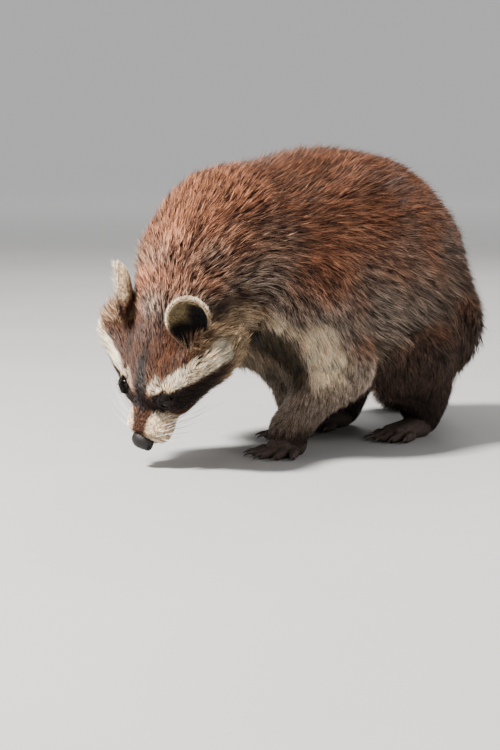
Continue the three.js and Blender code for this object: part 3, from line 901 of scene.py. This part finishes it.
class Nodes:
    """A material with a Principled shader, and short ways to add nodes to it."""

    def __init__(self, name):
        self.material = bpy.data.materials.new(name)
        self.material.use_nodes = True
        self.tree = self.material.node_tree
        self.shader = self.tree.nodes["Principled BSDF"]

    def add(self, kind, inputs, **settings):
        node = self.tree.nodes.new("ShaderNode" + kind)
        for key, value in settings.items():
            setattr(node, key, value)
        for key, value in inputs.items():
            self.put(node.inputs[key], value)
        return node

    def put(self, socket, value):
        if isinstance(value, bpy.types.NodeSocket):
            self.tree.links.new(value, socket)
        else:
            socket.default_value = value

    def set(self, **values):
        for key, value in values.items():
            self.put(self.shader.inputs[key.replace("_", " ")], value)

    def place(self):
        return self.add("TexCoord", {}).outputs["Object"]

    def attribute(self, name, output="Color"):
        return self.add("Attribute", {}, attribute_name=name).outputs[output]

    def mixed(self, kind, share, a, b):
        return self.add("Mix", {0: share, 6: a, 7: b}, data_type="RGBA", blend_type=kind).outputs[2]

    def ramp(self, value, low, high, middle=None):
        """Each stop is a position and a colour, or a level of grey."""
        node = self.add("ValToRGB", {"Fac": value})
        stops = [low, middle, high] if middle else [low, high]
        element = node.color_ramp.elements
        if middle:
            element.new(0.5)
        for e, (at, colour) in zip(element, stops):
            e.position = at
            e.color = (*np.broadcast_to(colour, 3), 1)
        return node.outputs[0]

    def noise(self, scale, detail=2.0, stretch=(1, 1, 1), rotation=(0, 0, 0)):
        where = self.add("Mapping", {"Vector": self.place(), "Scale": stretch, "Rotation": rotation})
        return self.add("TexNoise", {"Vector": where.outputs[0], "Scale": scale, "Detail": detail}).outputs[0]

    def mottled(self, colour, value, low, high):
        return self.mixed("MULTIPLY", 1.0, colour, self.ramp(value, low, high))

    def bump(self, height, strength, distance):
        return self.add("Bump", {"Height": height, "Strength": strength, "Distance": distance}).outputs[0]


def fur_material():
    m = Nodes("fur")
    share = m.ramp(m.attribute("along", "Fac"), (0.45, 0), (0.85, 1), middle=(0.66, 0.65))
    colour = m.mixed("MIX", share, m.attribute("tint"), m.attribute("tip"))
    colour = m.mottled(colour, m.noise(420, 3.0), (0.28, 0.8), (0.72, 1.18))
    warm = m.ramp(m.noise(26, 2.0), (0.3, (1.05, 0.98, 0.94)), (0.7, (0.96, 1.0, 1.04)))
    colour = m.mixed("MULTIPLY", 0.7, colour, warm)
    rough = m.ramp(m.noise(300, 1.0), (0.3, 0.42), (0.7, 0.6))
    m.set(Base_Color=colour, Roughness=rough, IOR=1.5, Specular_IOR_Level=0.26)
    m.set(Normal=m.bump(m.noise(900, 1.0), 0.25, 0.0004))
    return m.material


def hide_material():
    m = Nodes("hide")
    lie = tuple(-math.radians(a) for a in HEAD_TILT)
    strands = m.noise(520, 3.0, (1, 0.22, 1), lie)
    colour = m.mottled(m.attribute("tint"), strands, (0.25, 0.62), (0.75, 1.3))
    m.set(Base_Color=colour, Roughness=0.75, IOR=1.45, Specular_IOR_Level=0.3)
    m.set(Normal=m.bump(strands, 0.7, 0.0006))
    return m.material


def eye_material():
    m = Nodes("eye_wet")
    fleck = m.ramp(m.noise(700, 2.0), (0.3, 0), (0.8, 0.5))
    colour = m.mixed("MIX", fleck, m.attribute("tint"), (0.008, 0.004, 0.003, 1))
    m.set(Base_Color=colour, Roughness=0.06, IOR=1.38, Specular_IOR_Level=0.3)
    return m.material


def nose_material():
    m = Nodes("nose_leather")
    cells = m.add("TexVoronoi", {"Vector": m.place(), "Scale": 1100.0}, feature="DISTANCE_TO_EDGE")
    edge = cells.outputs["Distance"]
    colour = m.mottled(m.attribute("tint"), m.noise(240, 3.0), (0.3, 0.8), (0.7, 1.2))
    m.set(Base_Color=colour, Roughness=m.ramp(edge, (0.0, 0.6), (0.3, 0.42)), Specular_IOR_Level=0.4)
    m.set(Normal=m.bump(m.ramp(edge, (0.0, 0.0), (0.28, 1.0)), 0.3, 0.0003))
    return m.material


def claw_material():
    m = Nodes("claw_horn")
    streak = m.noise(380, 3.0, (1, 0.15, 1))
    colour = m.ramp(streak, (0.25, paint(34, 27, 24)), (0.75, paint(82, 68, 58)))
    m.set(Base_Color=colour, Roughness=m.ramp(streak, (0.2, 0.28), (0.8, 0.45)), IOR=1.54)
    m.set(Normal=m.bump(streak, 0.2, 0.0002))
    return m.material


def whisker_material():
    m = Nodes("whisker_bristle")
    colour = m.ramp(m.noise(160, 2.0), (0.3, paint(214, 206, 194)), (0.7, paint(246, 242, 236)))
    m.set(Base_Color=colour, Roughness=m.ramp(m.noise(300, 1.0), (0.3, 0.3), (0.7, 0.42)), IOR=1.5)
    return m.material


def floor_material():
    """Pale, and paler far off, where only the sky lights it, so that floor and sky meet with no line."""
    m = Nodes("floor_matte")
    far = m.add("VectorMath", {0: m.place()}, operation="LENGTH").outputs["Value"]
    reach = {"Value": far, "From Min": 1.0, "From Max": 9.0}
    share = m.add("MapRange", reach, interpolation_type="SMOOTHSTEP").outputs[0]
    fleck = m.ramp(m.noise(3.0, 4.0), (0.3, 0.46), (0.7, 0.49))
    colour = m.mixed("MIX", share, fleck, (0.99, 0.99, 0.99, 1))
    m.set(Base_Color=colour, Roughness=0.9, Specular_IOR_Level=0.0)
    return m.material


def finish_piece(obj, material):
    obj.data.materials.clear()
    obj.data.materials.append(material)
    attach(obj, "root")


# ---- eyes, nose, claws, whiskers

PUPIL, IRIS, EYE_WHITE = paint(6, 5, 5), paint(30, 18, 12), paint(16, 11, 10)
# the pad's top colour is a painted sheen
NOSE_DARK, NOSE_TOP_SHEEN, NOSTRIL_DARK = paint(7, 6, 6), paint(27, 22, 23), paint(6, 4, 4)
EYE_RINGS, EYE_AROUND, CLAW_RINGS, CLAW_AROUND, WHISKER_RINGS, WHISKER_AROUND = 26, 32, 9, 10, 9, 4
CLAW_LENGTH, CLAW_SUNK, CLAW_ROOT, CLAW_TIP, CLAW_WIDTH = 11, 3.2, 2.28, 0.16, 0.62
WHISKER_LENGTH, WHISKER_LONGER, WHISKER_ROOT, WHISKER_TIP = 30, 26, 0.28, 0.05


def build_eyes():
    wet = eye_material()
    for side in SIDES:
        out, along, up = eye_axes(side)
        middle = mirrored(EYE_AT, side)
        polar = np.linspace(0, math.pi, EYE_RINGS + 2)[1:-1]
        radius = (EYE_BALL + EYE_BULGE * smooth(0.85, 0.2, polar))[:, None]
        c, s = np.cos(polar)[:, None] * radius, np.sin(polar)[:, None] * radius
        points, faces = closed_tube(middle + c * out, s * along, s * up, EYE_AROUND)
        points[-2] += out * 0.05
        eye = make_mesh(f"eye_{SIDE_NAME[side]}_ball", from_head(points), faces)
        turned = np.degrees(np.arccos(np.clip(unit(points - middle) @ out, -1, 1)))
        tint = mix(PUPIL, IRIS, smooth(22, 26, turned))
        set_colours(eye, "tint", mix(tint, EYE_WHITE, smooth(38, 44, turned)))
        finish_piece(eye, wet)
        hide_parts(f"eye_{SIDE_NAME[side]}")


def nose_field(q):
    """A pad with a flat top, a wing round each nostril, a slit behind it and a groove down the middle."""
    q = folded(q)
    pad = egg(q, NOSE_AT + vec(0, 0, 0.4), NOSE_SIZE + vec(0.2, 0, 0.4))
    wing = egg(q, NOSE_AT + vec(6.0, -4.4, -2.2), vec(4.6, 4.2, 4.8))
    h = np.maximum(2.4 - np.abs(pad - wing), 0) / 2.4
    f = np.minimum(pad, wing) - h * h * 0.6
    f = carve(f, norm((q - NOSTRIL) / vec(1.1, 1.6, 1.0)) - 2.0, 1.2)
    slit = [NOSTRIL + vec(0.8, 0.4, 0), NOSTRIL + vec(4.0, 2.2, 0.6), NOSTRIL + vec(6.0, 5.4, 2.2)]
    f = carve(f, to_line(q, slit)[0] - 0.9, 1.0)
    groove = [vec(0, -58, -5), vec(0, -57.0, -13), vec(0, -53, -18.5)]
    return carve(f, to_line(q, groove)[0] - 0.8, 1.6)


def build_nose():
    low, high = NOSE_AT - NOSE_SIZE - 1.3, NOSE_AT + NOSE_SIZE + 1.2
    points, faces = surface_net(nose_field, low, high, NOSE_CELL)
    points = on_level(points, nose_field, 1)
    nose = make_mesh("nose_pad", from_head(points), faces)
    # painted sheen: the top of the pad is lighter than its front
    tint = mix(NOSE_DARK, NOSE_TOP_SHEEN, smooth(-9, -1, points[:, 2] - (points[:, 1] + 50) * 0.6))
    set_colours(nose, "tint", mix(tint, NOSTRIL_DARK, smooth(4.0, 1.6, norm(folded(points) - NOSTRIL))))
    finish_piece(nose, nose_material())
    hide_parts("nose")


def build_claws():
    """Curved claws, narrower than high, each with its root sunk in its digit."""
    t = np.linspace(0, 1, CLAW_RINGS)
    step = (CLAW_LENGTH + CLAW_SUNK) / (CLAW_RINGS - 1)
    droop = np.radians(-14 + 46 * t)[:, None]
    forward = (np.cumsum(np.cos(droop))[:, None] - np.cos(droop[0])) * step
    down = (np.cumsum(np.sin(droop))[:, None] - np.sin(droop[0])) * step
    radius = (CLAW_ROOT * (1 - t) ** 0.75 + CLAW_TIP)[:, None]
    claws = []
    for _, _, root, ahead, length in digit_lines():
        axis = root + ahead * (length - 3.0 + forward) + UP * (0.2 - down)
        normal = np.cos(droop) * UP + np.sin(droop) * ahead
        across = np.cross(ahead, UP) * CLAW_WIDTH * radius
        points, faces = closed_tube(axis, across, normal * radius, CLAW_AROUND)
        points[:, 2] = np.maximum(points[:, 2], LOWEST)
        claws.append((points, faces))
    claws = make_mesh("claws", *joined(claws))
    finish_piece(claws, claw_material())
    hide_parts(*[f"claw_{name}" for name, *_ in digit_lines()])


def skin_edge(side, y, h):
    """How far from the head's middle its skin is met on the way out."""
    inner, outer = 4.0, 34.0
    for _ in range(14):
        x = (inner + outer) / 2
        if skin_field(from_head(vec(x * side, y, h)[None]))[0] > 0:
            outer = x
        else:
            inner = x
    return x


def build_whiskers():
    t = np.linspace(0, 1, WHISKER_RINGS)[:, None]
    radius = WHISKER_ROOT * (1 - t) ** 0.8 + WHISKER_TIP
    whiskers = []
    for side in SIDES:
        for i, (y, h) in enumerate(whisker_roots()):
            root = vec(skin_edge(side, y, h) * side, y, h)
            back = (i % WHISKERS_IN_ROW) / (WHISKERS_IN_ROW - 1)
            length = (WHISKER_LENGTH + WHISKER_LONGER * back) * rng.uniform(0.85, 1.15)
            rearward = 0.15 + 0.5 * back + rng.normal(0, 0.12)
            out = unit(vec(side, rearward, 0.1 - 0.035 * h / 4 + rng.normal(0, 0.12)))
            bend = vec(0, 0.35 + 0.2 * back, -0.25) + rng.normal(0, 0.08, 3)
            axis = root + length * (out * (t - 0.03) + bend * t**2 * 0.5)
            along = unit(np.gradient(axis, axis=0))
            u = unit(np.cross(along, UP))
            whiskers.append(closed_tube(axis, u * radius, np.cross(along, u) * radius, WHISKER_AROUND))
    points, faces = joined(whiskers)
    whiskers = make_mesh("whiskers", from_head(points), faces)
    finish_piece(whiskers, whisker_material())


# ---- the coat

# A lock is a closed sliver with one point at its root, five round its fork and three tips. A hair is a thin
# spike. Each kind has its triangles, how far along the strand its points count, and the most in one piece.
Kind = namedtuple("Kind", "name faces along most")
FORK_ACROSS, FORK_RIDGE = (-0.5, -0.17, 0.17, 0.5), 0.4
TIP_ACROSS = vec(-0.34, 0.0, 0.34)
LOCK_FACES = [[0, b, a] for a, b in ((1, 2), (2, 3), (3, 4), (4, 5), (5, 1))]
for a in (1, 2, 3):
    LOCK_FACES += [[a, a + 1, a + 5], [a + 1, 5, a + 5], [5, a, a + 5]]
LOCK = Kind("coat", LOCK_FACES, vec(0, *[0.45] * 5, 1, 1, 1), 198000 // len(LOCK_FACES))
HAIR = Kind("hair", [[2, 1, 0], [0, 1, 3], [1, 2, 3], [2, 0, 3]], vec(0.3, 0.3, 0.3, 1), 11000)
LOCK_SPACING, HAIR_SPACING, EAR_SPACING, STRAY = 1.4, 0.78, 0.6, 0.17
DENSITY = 1.0
UV_CELLS, UV_PATCH, UV_MARGIN = 300, 0.003, 0.00015
BRIGHTEST, GATHERING = 0.92, 0.09


def spread_uv(uv):
    """Each strand's patch moved to a free cell of a fine grid, as near as it can be to its root's place."""
    want = np.clip((uv * UV_CELLS).astype(int), 0, UV_CELLS - 1)
    taken = np.zeros(UV_CELLS**2, bool)
    place = want @ [UV_CELLS, 1]
    left = np.arange(len(uv))
    for reach in range(60):
        shift = rng.integers(-reach, reach + 1, (len(left), 2))
        key = np.clip(want[left] + shift, 0, UV_CELLS - 1) @ [UV_CELLS, 1]
        chosen = np.zeros(len(left), bool)
        chosen[np.unique(key, return_index=True)[1]] = True
        chosen &= ~taken[key]
        place[left[chosen]] = key[chosen]
        taken[key[chosen]] = True
        left = left[~chosen]
    return np.stack([place // UV_CELLS, place % UV_CELLS], 1) / UV_CELLS


def add_pieces(kind, corners, tint, end, root_uv):
    """Strands of one kind as pieces, each with its share of them from all over the body."""
    n, k, _ = corners.shape
    corners[..., 2] = np.maximum(corners[..., 2], LOWEST)
    count = math.ceil(n / kind.most)
    order = rng.permutation(n)
    pieces = []
    for g in range(count):
        ids = order[g::count]
        faces = (np.arange(len(ids))[:, None, None] * k + np.array(kind.faces)).reshape(-1, 3)
        piece = make_mesh(f"{kind.name}_{g + 1}", corners[ids].reshape(-1, 3), faces)
        set_colours(piece, "tint", tint[ids].reshape(-1, 3))
        set_colours(piece, "tip", end[ids].reshape(-1, 3))
        along = np.tile(kind.along, len(ids))
        layer = piece.data.attributes.new("along", "FLOAT", "POINT")
        layer.data.foreach_set("value", along.astype(np.float32))
        patch = np.stack([np.tile(np.arange(k) / (k - 1), len(ids)), along], 1)
        at = np.repeat(spread_uv(root_uv[ids]), k, axis=0) + UV_MARGIN + patch * UV_PATCH
        layer = piece.data.uv_layers.new(name="OFBake")
        layer.data.foreach_set("uv", at[faces.ravel()].astype(np.float32).ravel())
        pieces.append(piece)
    return pieces


def sample_skin(points, corners, weight, number):
    """Roots spread over the skin's triangles by weight. Returns triangle numbers and barycentric shares."""
    block = np.floor(points[corners].mean(1) / 6).astype(np.int64) @ np.array([1, 1009, 1013 * 1009])
    order = np.argsort(block, kind="stable")
    total = np.cumsum(weight[order])
    at = (np.arange(number) + rng.random(number)) / number * total[-1]
    tri = order[np.searchsorted(total, at).clip(0, len(order) - 1)]
    a, b = rng.random((2, number))
    flip = a + b > 1
    a, b = np.where(flip, 1 - a, a), np.where(flip, 1 - b, b)
    return tri, np.stack([1 - a - b, a, b], 1)


def hair_way(p, normal, flow, ears):
    """The way the hair lies at points of the skin, along the surface."""
    q = to_head(p)
    for side in SIDES:
        eye = mirrored(EYE_AT, side)
        flow = mix(flow, unit(q - eye) @ HEAD_TURN.T, 0.9 * smooth(18, 10, norm(q - eye)))
    upright = 1 - np.abs(normal[:, 2:])
    flow = flat(flow - UP * 0.55 * upright * smooth(-190, -120, p[:, 1:2]), normal)
    weak = norm(flow) < 0.15
    flow[weak] -= flat(UP, normal)[weak]
    flow = unit(flat(flow, normal))
    swirl = noise(p, 28, 21) * 0.3 + noise(p, 9, 22) * 0.26 + rng.normal(0, 0.14, len(p))
    way = unit(flow + np.cross(normal, flow) * swirl[:, None])
    way = np.where(ears.on[:, None] > 0, unit(flat(ears.way, normal) + way * 0.15), way)
    way = unit(way + ears.way * (0.8 * smooth(0, 1, ears.foot))[:, None])
    return unit(flat(way, normal))


def gather(fork, tip, reach, long):
    """Draws neighbouring tips together in locks. Returns the strand that each one is drawn to."""
    n = len(tip)
    centres = np.flatnonzero(rng.random(n) < GATHERING)
    tree = kdtree.KDTree(len(centres))
    for i, c in enumerate(tip[centres]):
        tree.insert(c, i)
    tree.balance()
    nearest = centres[np.array([tree.find(c)[1] for c in tip])]
    gap = tip[nearest] - tip
    pull = (0.12 + 0.22 * long) * rng.uniform(0.3, 1.0, n)
    pull *= smooth(reach * 0.8, reach * 0.3, norm(gap))
    tip += gap * pull[:, None]
    fork += gap * (pull * 0.4)[:, None]
    return nearest


def strand_colours(coat, long, nearest):
    """Colours at each strand's root, fork and three tips. Some tips are pale or dark, and strands gathered
    together are alike in brightness."""
    n = len(long)
    kind = (rng.random(n)[:, None] + rng.normal(0, 0.1, (n, 3)))[..., None]
    body = coat.base.mean(1)
    own, shared = rng.normal(0, 0.24, n), rng.normal(0, 1, n) * (0.22 + 0.2 * smooth(0.2, 0.5, body))
    light = np.exp(own + shared[nearest])[:, None]
    # roots and forks darker than the hair's body: partly the hair's own darker base and partly painted shade
    # deep in the coat, most where it is long
    root = mix(coat.base * vec(0.5, 0.42, 0.33), mix(DARK_ROOT_AND_SHADE, coat.base, 0.3), long)
    deep = coat.base * (0.5 + 0.34 * smooth(0.08, 0.5, body))[:, None]
    fork = mix(coat.base * vec(0.85, 0.8, 0.74), deep, long)
    plain, dark = mix(coat.base, coat.tip, 0.3)[:, None], mix(DARK_HAIR, coat.base, 0.35)[:, None]
    tips = np.where(kind < coat.pale[:, None, None], coat.tip[:, None], plain)
    tips = np.where(kind > 1 - coat.dark[:, None, None], dark, tips)
    return root * light, fork * light, tips * light[:, None]


def grow(kind, root, normal, root_uv):
    """Strands of one kind from the given roots. Long hair lies flatter, and ears and eyelids have short."""
    n = len(root)
    single = kind is HAIR
    _, found = melt(root, ALL, TRAITS)
    ears = Ears(root)
    on_ear = ears.on > 0
    way = hair_way(root, normal, found[:, FLOW], ears)
    side = np.cross(normal, way)
    depth = np.where(on_ear, 1.6 + 1.2 * ears.rim + 0.6 * ears.inside, np.maximum(found[:, DEPTH], 0.8))
    long = smooth(*LONG_COAT, depth)
    beside_eye = smooth(15, 9, norm(half_head(root) - EYE_AT))
    reach = depth / (0.40 + 0.20 * long) * rng.uniform(0.85, 1.15, n)
    ear_reach = 3.4 + 2.6 * ears.rim + 4 * ears.inside * (1 - ears.deep) + 3 * ears.foot
    reach = np.where(on_ear, ear_reach * rng.uniform(0.6, 1.3, n), reach) * (1 - 0.5 * beside_eye)
    height = rng.uniform(0.78, 1.12, n) + np.where(rng.random(n) < 0.08, rng.uniform(0.1, 0.35, n), 0)
    if single:
        height *= np.where(rng.random(n) < 0.1 + 0.4 * long, rng.uniform(1.1, 1.5, n), 1)
    rise = depth * np.minimum(height, 1.4) * (1 - 0.6 * beside_eye) * (1 + 0.8 * ears.foot)
    fork = root + way * (reach * 0.44)[:, None] + normal * (rise * (0.62 - 0.06 * long))[:, None]
    tip = root + way * reach[:, None] + normal * rise[:, None]

    # hair follows the round of the body, and on the ears it stands free
    for part, share in ((fork, 0.57), (tip, 1.0)):
        off = np.clip(rise * share - depth - coat_field(part), -0.5 * depth - 2, 0.5 * depth + 2)
        part += normal * np.where(on_ear, 0, off)[:, None]
    free = way + ears.way * (0.6 * ears.rim)[:, None] + normal * (0.16 + 0.2 * ears.inside)[:, None]
    free = unit(free + rng.normal(0, 0.09, (n, 3)))
    tip = np.where(on_ear[:, None], root + free * reach[:, None], tip)
    fork = np.where(on_ear[:, None], root + (tip - root) * 0.45 + normal * 0.5, fork)
    nearest = gather(fork, tip, reach, long)

    # three tips, one at full length and the others shorter, fanned out across the strand
    width = (0.6 + 0.05 * depth) * rng.uniform(0.7, 1.3, n)
    if single:
        width = np.where(on_ear, 0.5, 0.6 + 0.035 * depth) * rng.uniform(0.7, 1.3, n)
    spread = width * (0.9 + 0.7 * long) * rng.uniform(0.7, 1.5, n)
    shorter = rng.uniform(0.62, 1.0, (n, 3))
    shorter[np.arange(n), rng.integers(0, 3, n)] = 1.0
    lift = rng.normal(0, 0.05, (n, 3)) * norm(tip - fork)[:, None]
    sway = TIP_ACROSS * spread[:, None] * 2 + rng.normal(0, 0.25, (n, 3)) * width[:, None]
    tips = fork[:, None] + (tip - fork)[:, None] * shorter[..., None] + normal[:, None] * lift[..., None]
    tips += side[:, None] * sway[..., None]
    for part in (fork, tips):
        part[..., 2] = np.maximum(part[..., 2], 0.5)

    # markings are read where a strand shows, at the coat's surface
    coat = markings(fork + (tip - fork) * 0.55, normal[:, 2], found)
    ears.lay(coat)
    root_colour, fork_colour, tip_colours = strand_colours(coat, long, nearest)
    across, ridge = side * width[:, None], normal * width[:, None]
    if single:
        corners = [root - across * 0.5, root + across * 0.5, root + ridge * 0.45, tips[:, 1]]
        tint = [root_colour] * 3 + [fork_colour]
        end = [tip_colours[:, 0]] * 4
    else:
        ring = [fork + across * share for share in FORK_ACROSS] + [fork + ridge * FORK_RIDGE]
        corners = [root, *ring, *tips.transpose(1, 0, 2)]
        tint = [root_colour] + [fork_colour] * 8
        end = [tip_colours.mean(1)] * 6 + [*tip_colours.transpose(1, 0, 2)]
    corners, tint, end = (np.stack(rows, 1) for rows in (corners, tint, end))
    end /= np.maximum(end.max(-1, keepdims=True) / BRIGHTEST, 1)
    return add_pieces(kind, corners, tint, end, root_uv)


def build_coat(skin):
    """Locks where the coat is long and hairs where it is short, with stray hairs among the locks."""
    fur = fur_material()
    points = points_of(skin)
    skin.data.calc_loop_triangles()
    corners = read(skin.data.loop_triangles, "vertices", 3, np.int32)
    loops = read(skin.data.loop_triangles, "loops", 3, np.int32)
    uv = read(skin.data.uv_layers["OFBake"].data, "uv", 2)
    tri = points[corners]
    middle = tri.mean(1)
    cross = np.cross(tri[:, 1] - tri[:, 0], tri[:, 2] - tri[:, 0])
    area = norm(cross) / 2
    depth = melt(middle, ALL, 1)[1][:, DEPTH]
    q = half_head(middle)
    under_nose = norm((q - NOSE_AT) / (NOSE_SIZE + 1.0)) < 1
    bare = (norm(q - EYE_AT) < 7.6) | under_nose | (middle[:, 2] < 0.8)
    ears = Ears(middle)
    fine = np.where(ears.on > 0, 1, smooth(9.5, 5.5, depth))
    spacing = np.where(ears.on > 0, EAR_SPACING + 0.3 * ears.inside, HAIR_SPACING + 0.03 * depth)
    locks = (1 - fine) / (LOCK_SPACING + 0.055 * depth) ** 2
    hairs = fine / spacing**2 + (1 - fine) * STRAY
    for kind, density in ((LOCK, locks), (HAIR, hairs)):
        density = np.where(bare, 0, density)
        number = int(density @ area * DENSITY)
        chosen, shares = sample_skin(points, corners, density * area, number)
        root = (points[corners[chosen]] * shares[..., None]).sum(1)
        root_uv = (uv[loops[chosen]] * shares[..., None]).sum(1)
        for piece in grow(kind, root, unit(cross[chosen]), root_uv):
            finish_piece(piece, fur)


# ---- the stage

# the camera's place in the animal's frame, and the direction that it looks from
CAMERA_AT, AZIMUTH, ELEVATION = vec(1208, -1443.4, 300.9), math.radians(42), math.radians(7)
LENS, SENSOR, FLOOR_REACH = 87.26, 36, 60
# each lamp's place and width in metres and its power in watts
LAMPS = {
    "key": ((-0.3, -1.7, 2.2), 0.4, 250),
    "fill": ((2.2, 0.2, 1.3), 0.6, 10),
    "rim": ((-1.2, 1.9, 1.9), 1.0, 30),
}
LAMP_COLOUR, LAMP_TARGET = (1.0, 0.95, 0.89), (0, 0, 0.15)
SKY_COLOUR, SKY_STRENGTH = (0.93, 0.93, 0.93, 1), 0.55


def aim(obj, at, target):
    obj.location = at
    obj.rotation_mode = "QUATERNION"
    obj.rotation_quaternion = (Vector(target) - Vector(at)).to_track_quat("-Z", "Y")


def build_stage():
    scene = bpy.context.scene
    away = vec(math.sin(AZIMUTH), -math.cos(AZIMUTH), 0) * math.cos(ELEVATION) + UP * math.sin(ELEVATION)
    camera = bpy.data.objects.new("camera", bpy.data.cameras.new("camera"))
    scene.collection.objects.link(camera)
    camera.data.lens, camera.data.sensor_width = LENS, SENSOR
    camera.data.clip_start, camera.data.clip_end = 0.1, 50
    aim(camera, placed(CAMERA_AT), placed(CAMERA_AT) - away)
    scene.camera = camera

    s = FLOOR_REACH
    mesh = bpy.data.meshes.new("floor")
    mesh.from_pydata([(-s, -s, 0), (s, -s, 0), (s, s, 0), (-s, s, 0)], [], [(0, 1, 2, 3)])
    floor = bpy.data.objects.new("floor", mesh)
    floor.data.materials.append(floor_material())
    scene.collection.objects.link(floor)

    for name, (at, size, power) in LAMPS.items():
        light = bpy.data.lights.new(name, "AREA")
        light.size, light.energy, light.color = size, power, LAMP_COLOUR
        lamp = bpy.data.objects.new(name, light)
        scene.collection.objects.link(lamp)
        aim(lamp, at, LAMP_TARGET)
    world = bpy.data.worlds.new("studio")
    world.use_nodes = True
    sky = world.node_tree.nodes["Background"].inputs
    sky[0].default_value, sky[1].default_value = SKY_COLOUR, SKY_STRENGTH
    scene.world = world


# ---- all together

build_stage()
skin = build_skin()
unwrap(skin)
colour_skin(skin)
finish_piece(skin, hide_material())
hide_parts(*[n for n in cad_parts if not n.startswith(("eye", "claw", "nose"))])
build_eyes()
build_nose()
build_claws()
build_whiskers()
build_coat(skin)
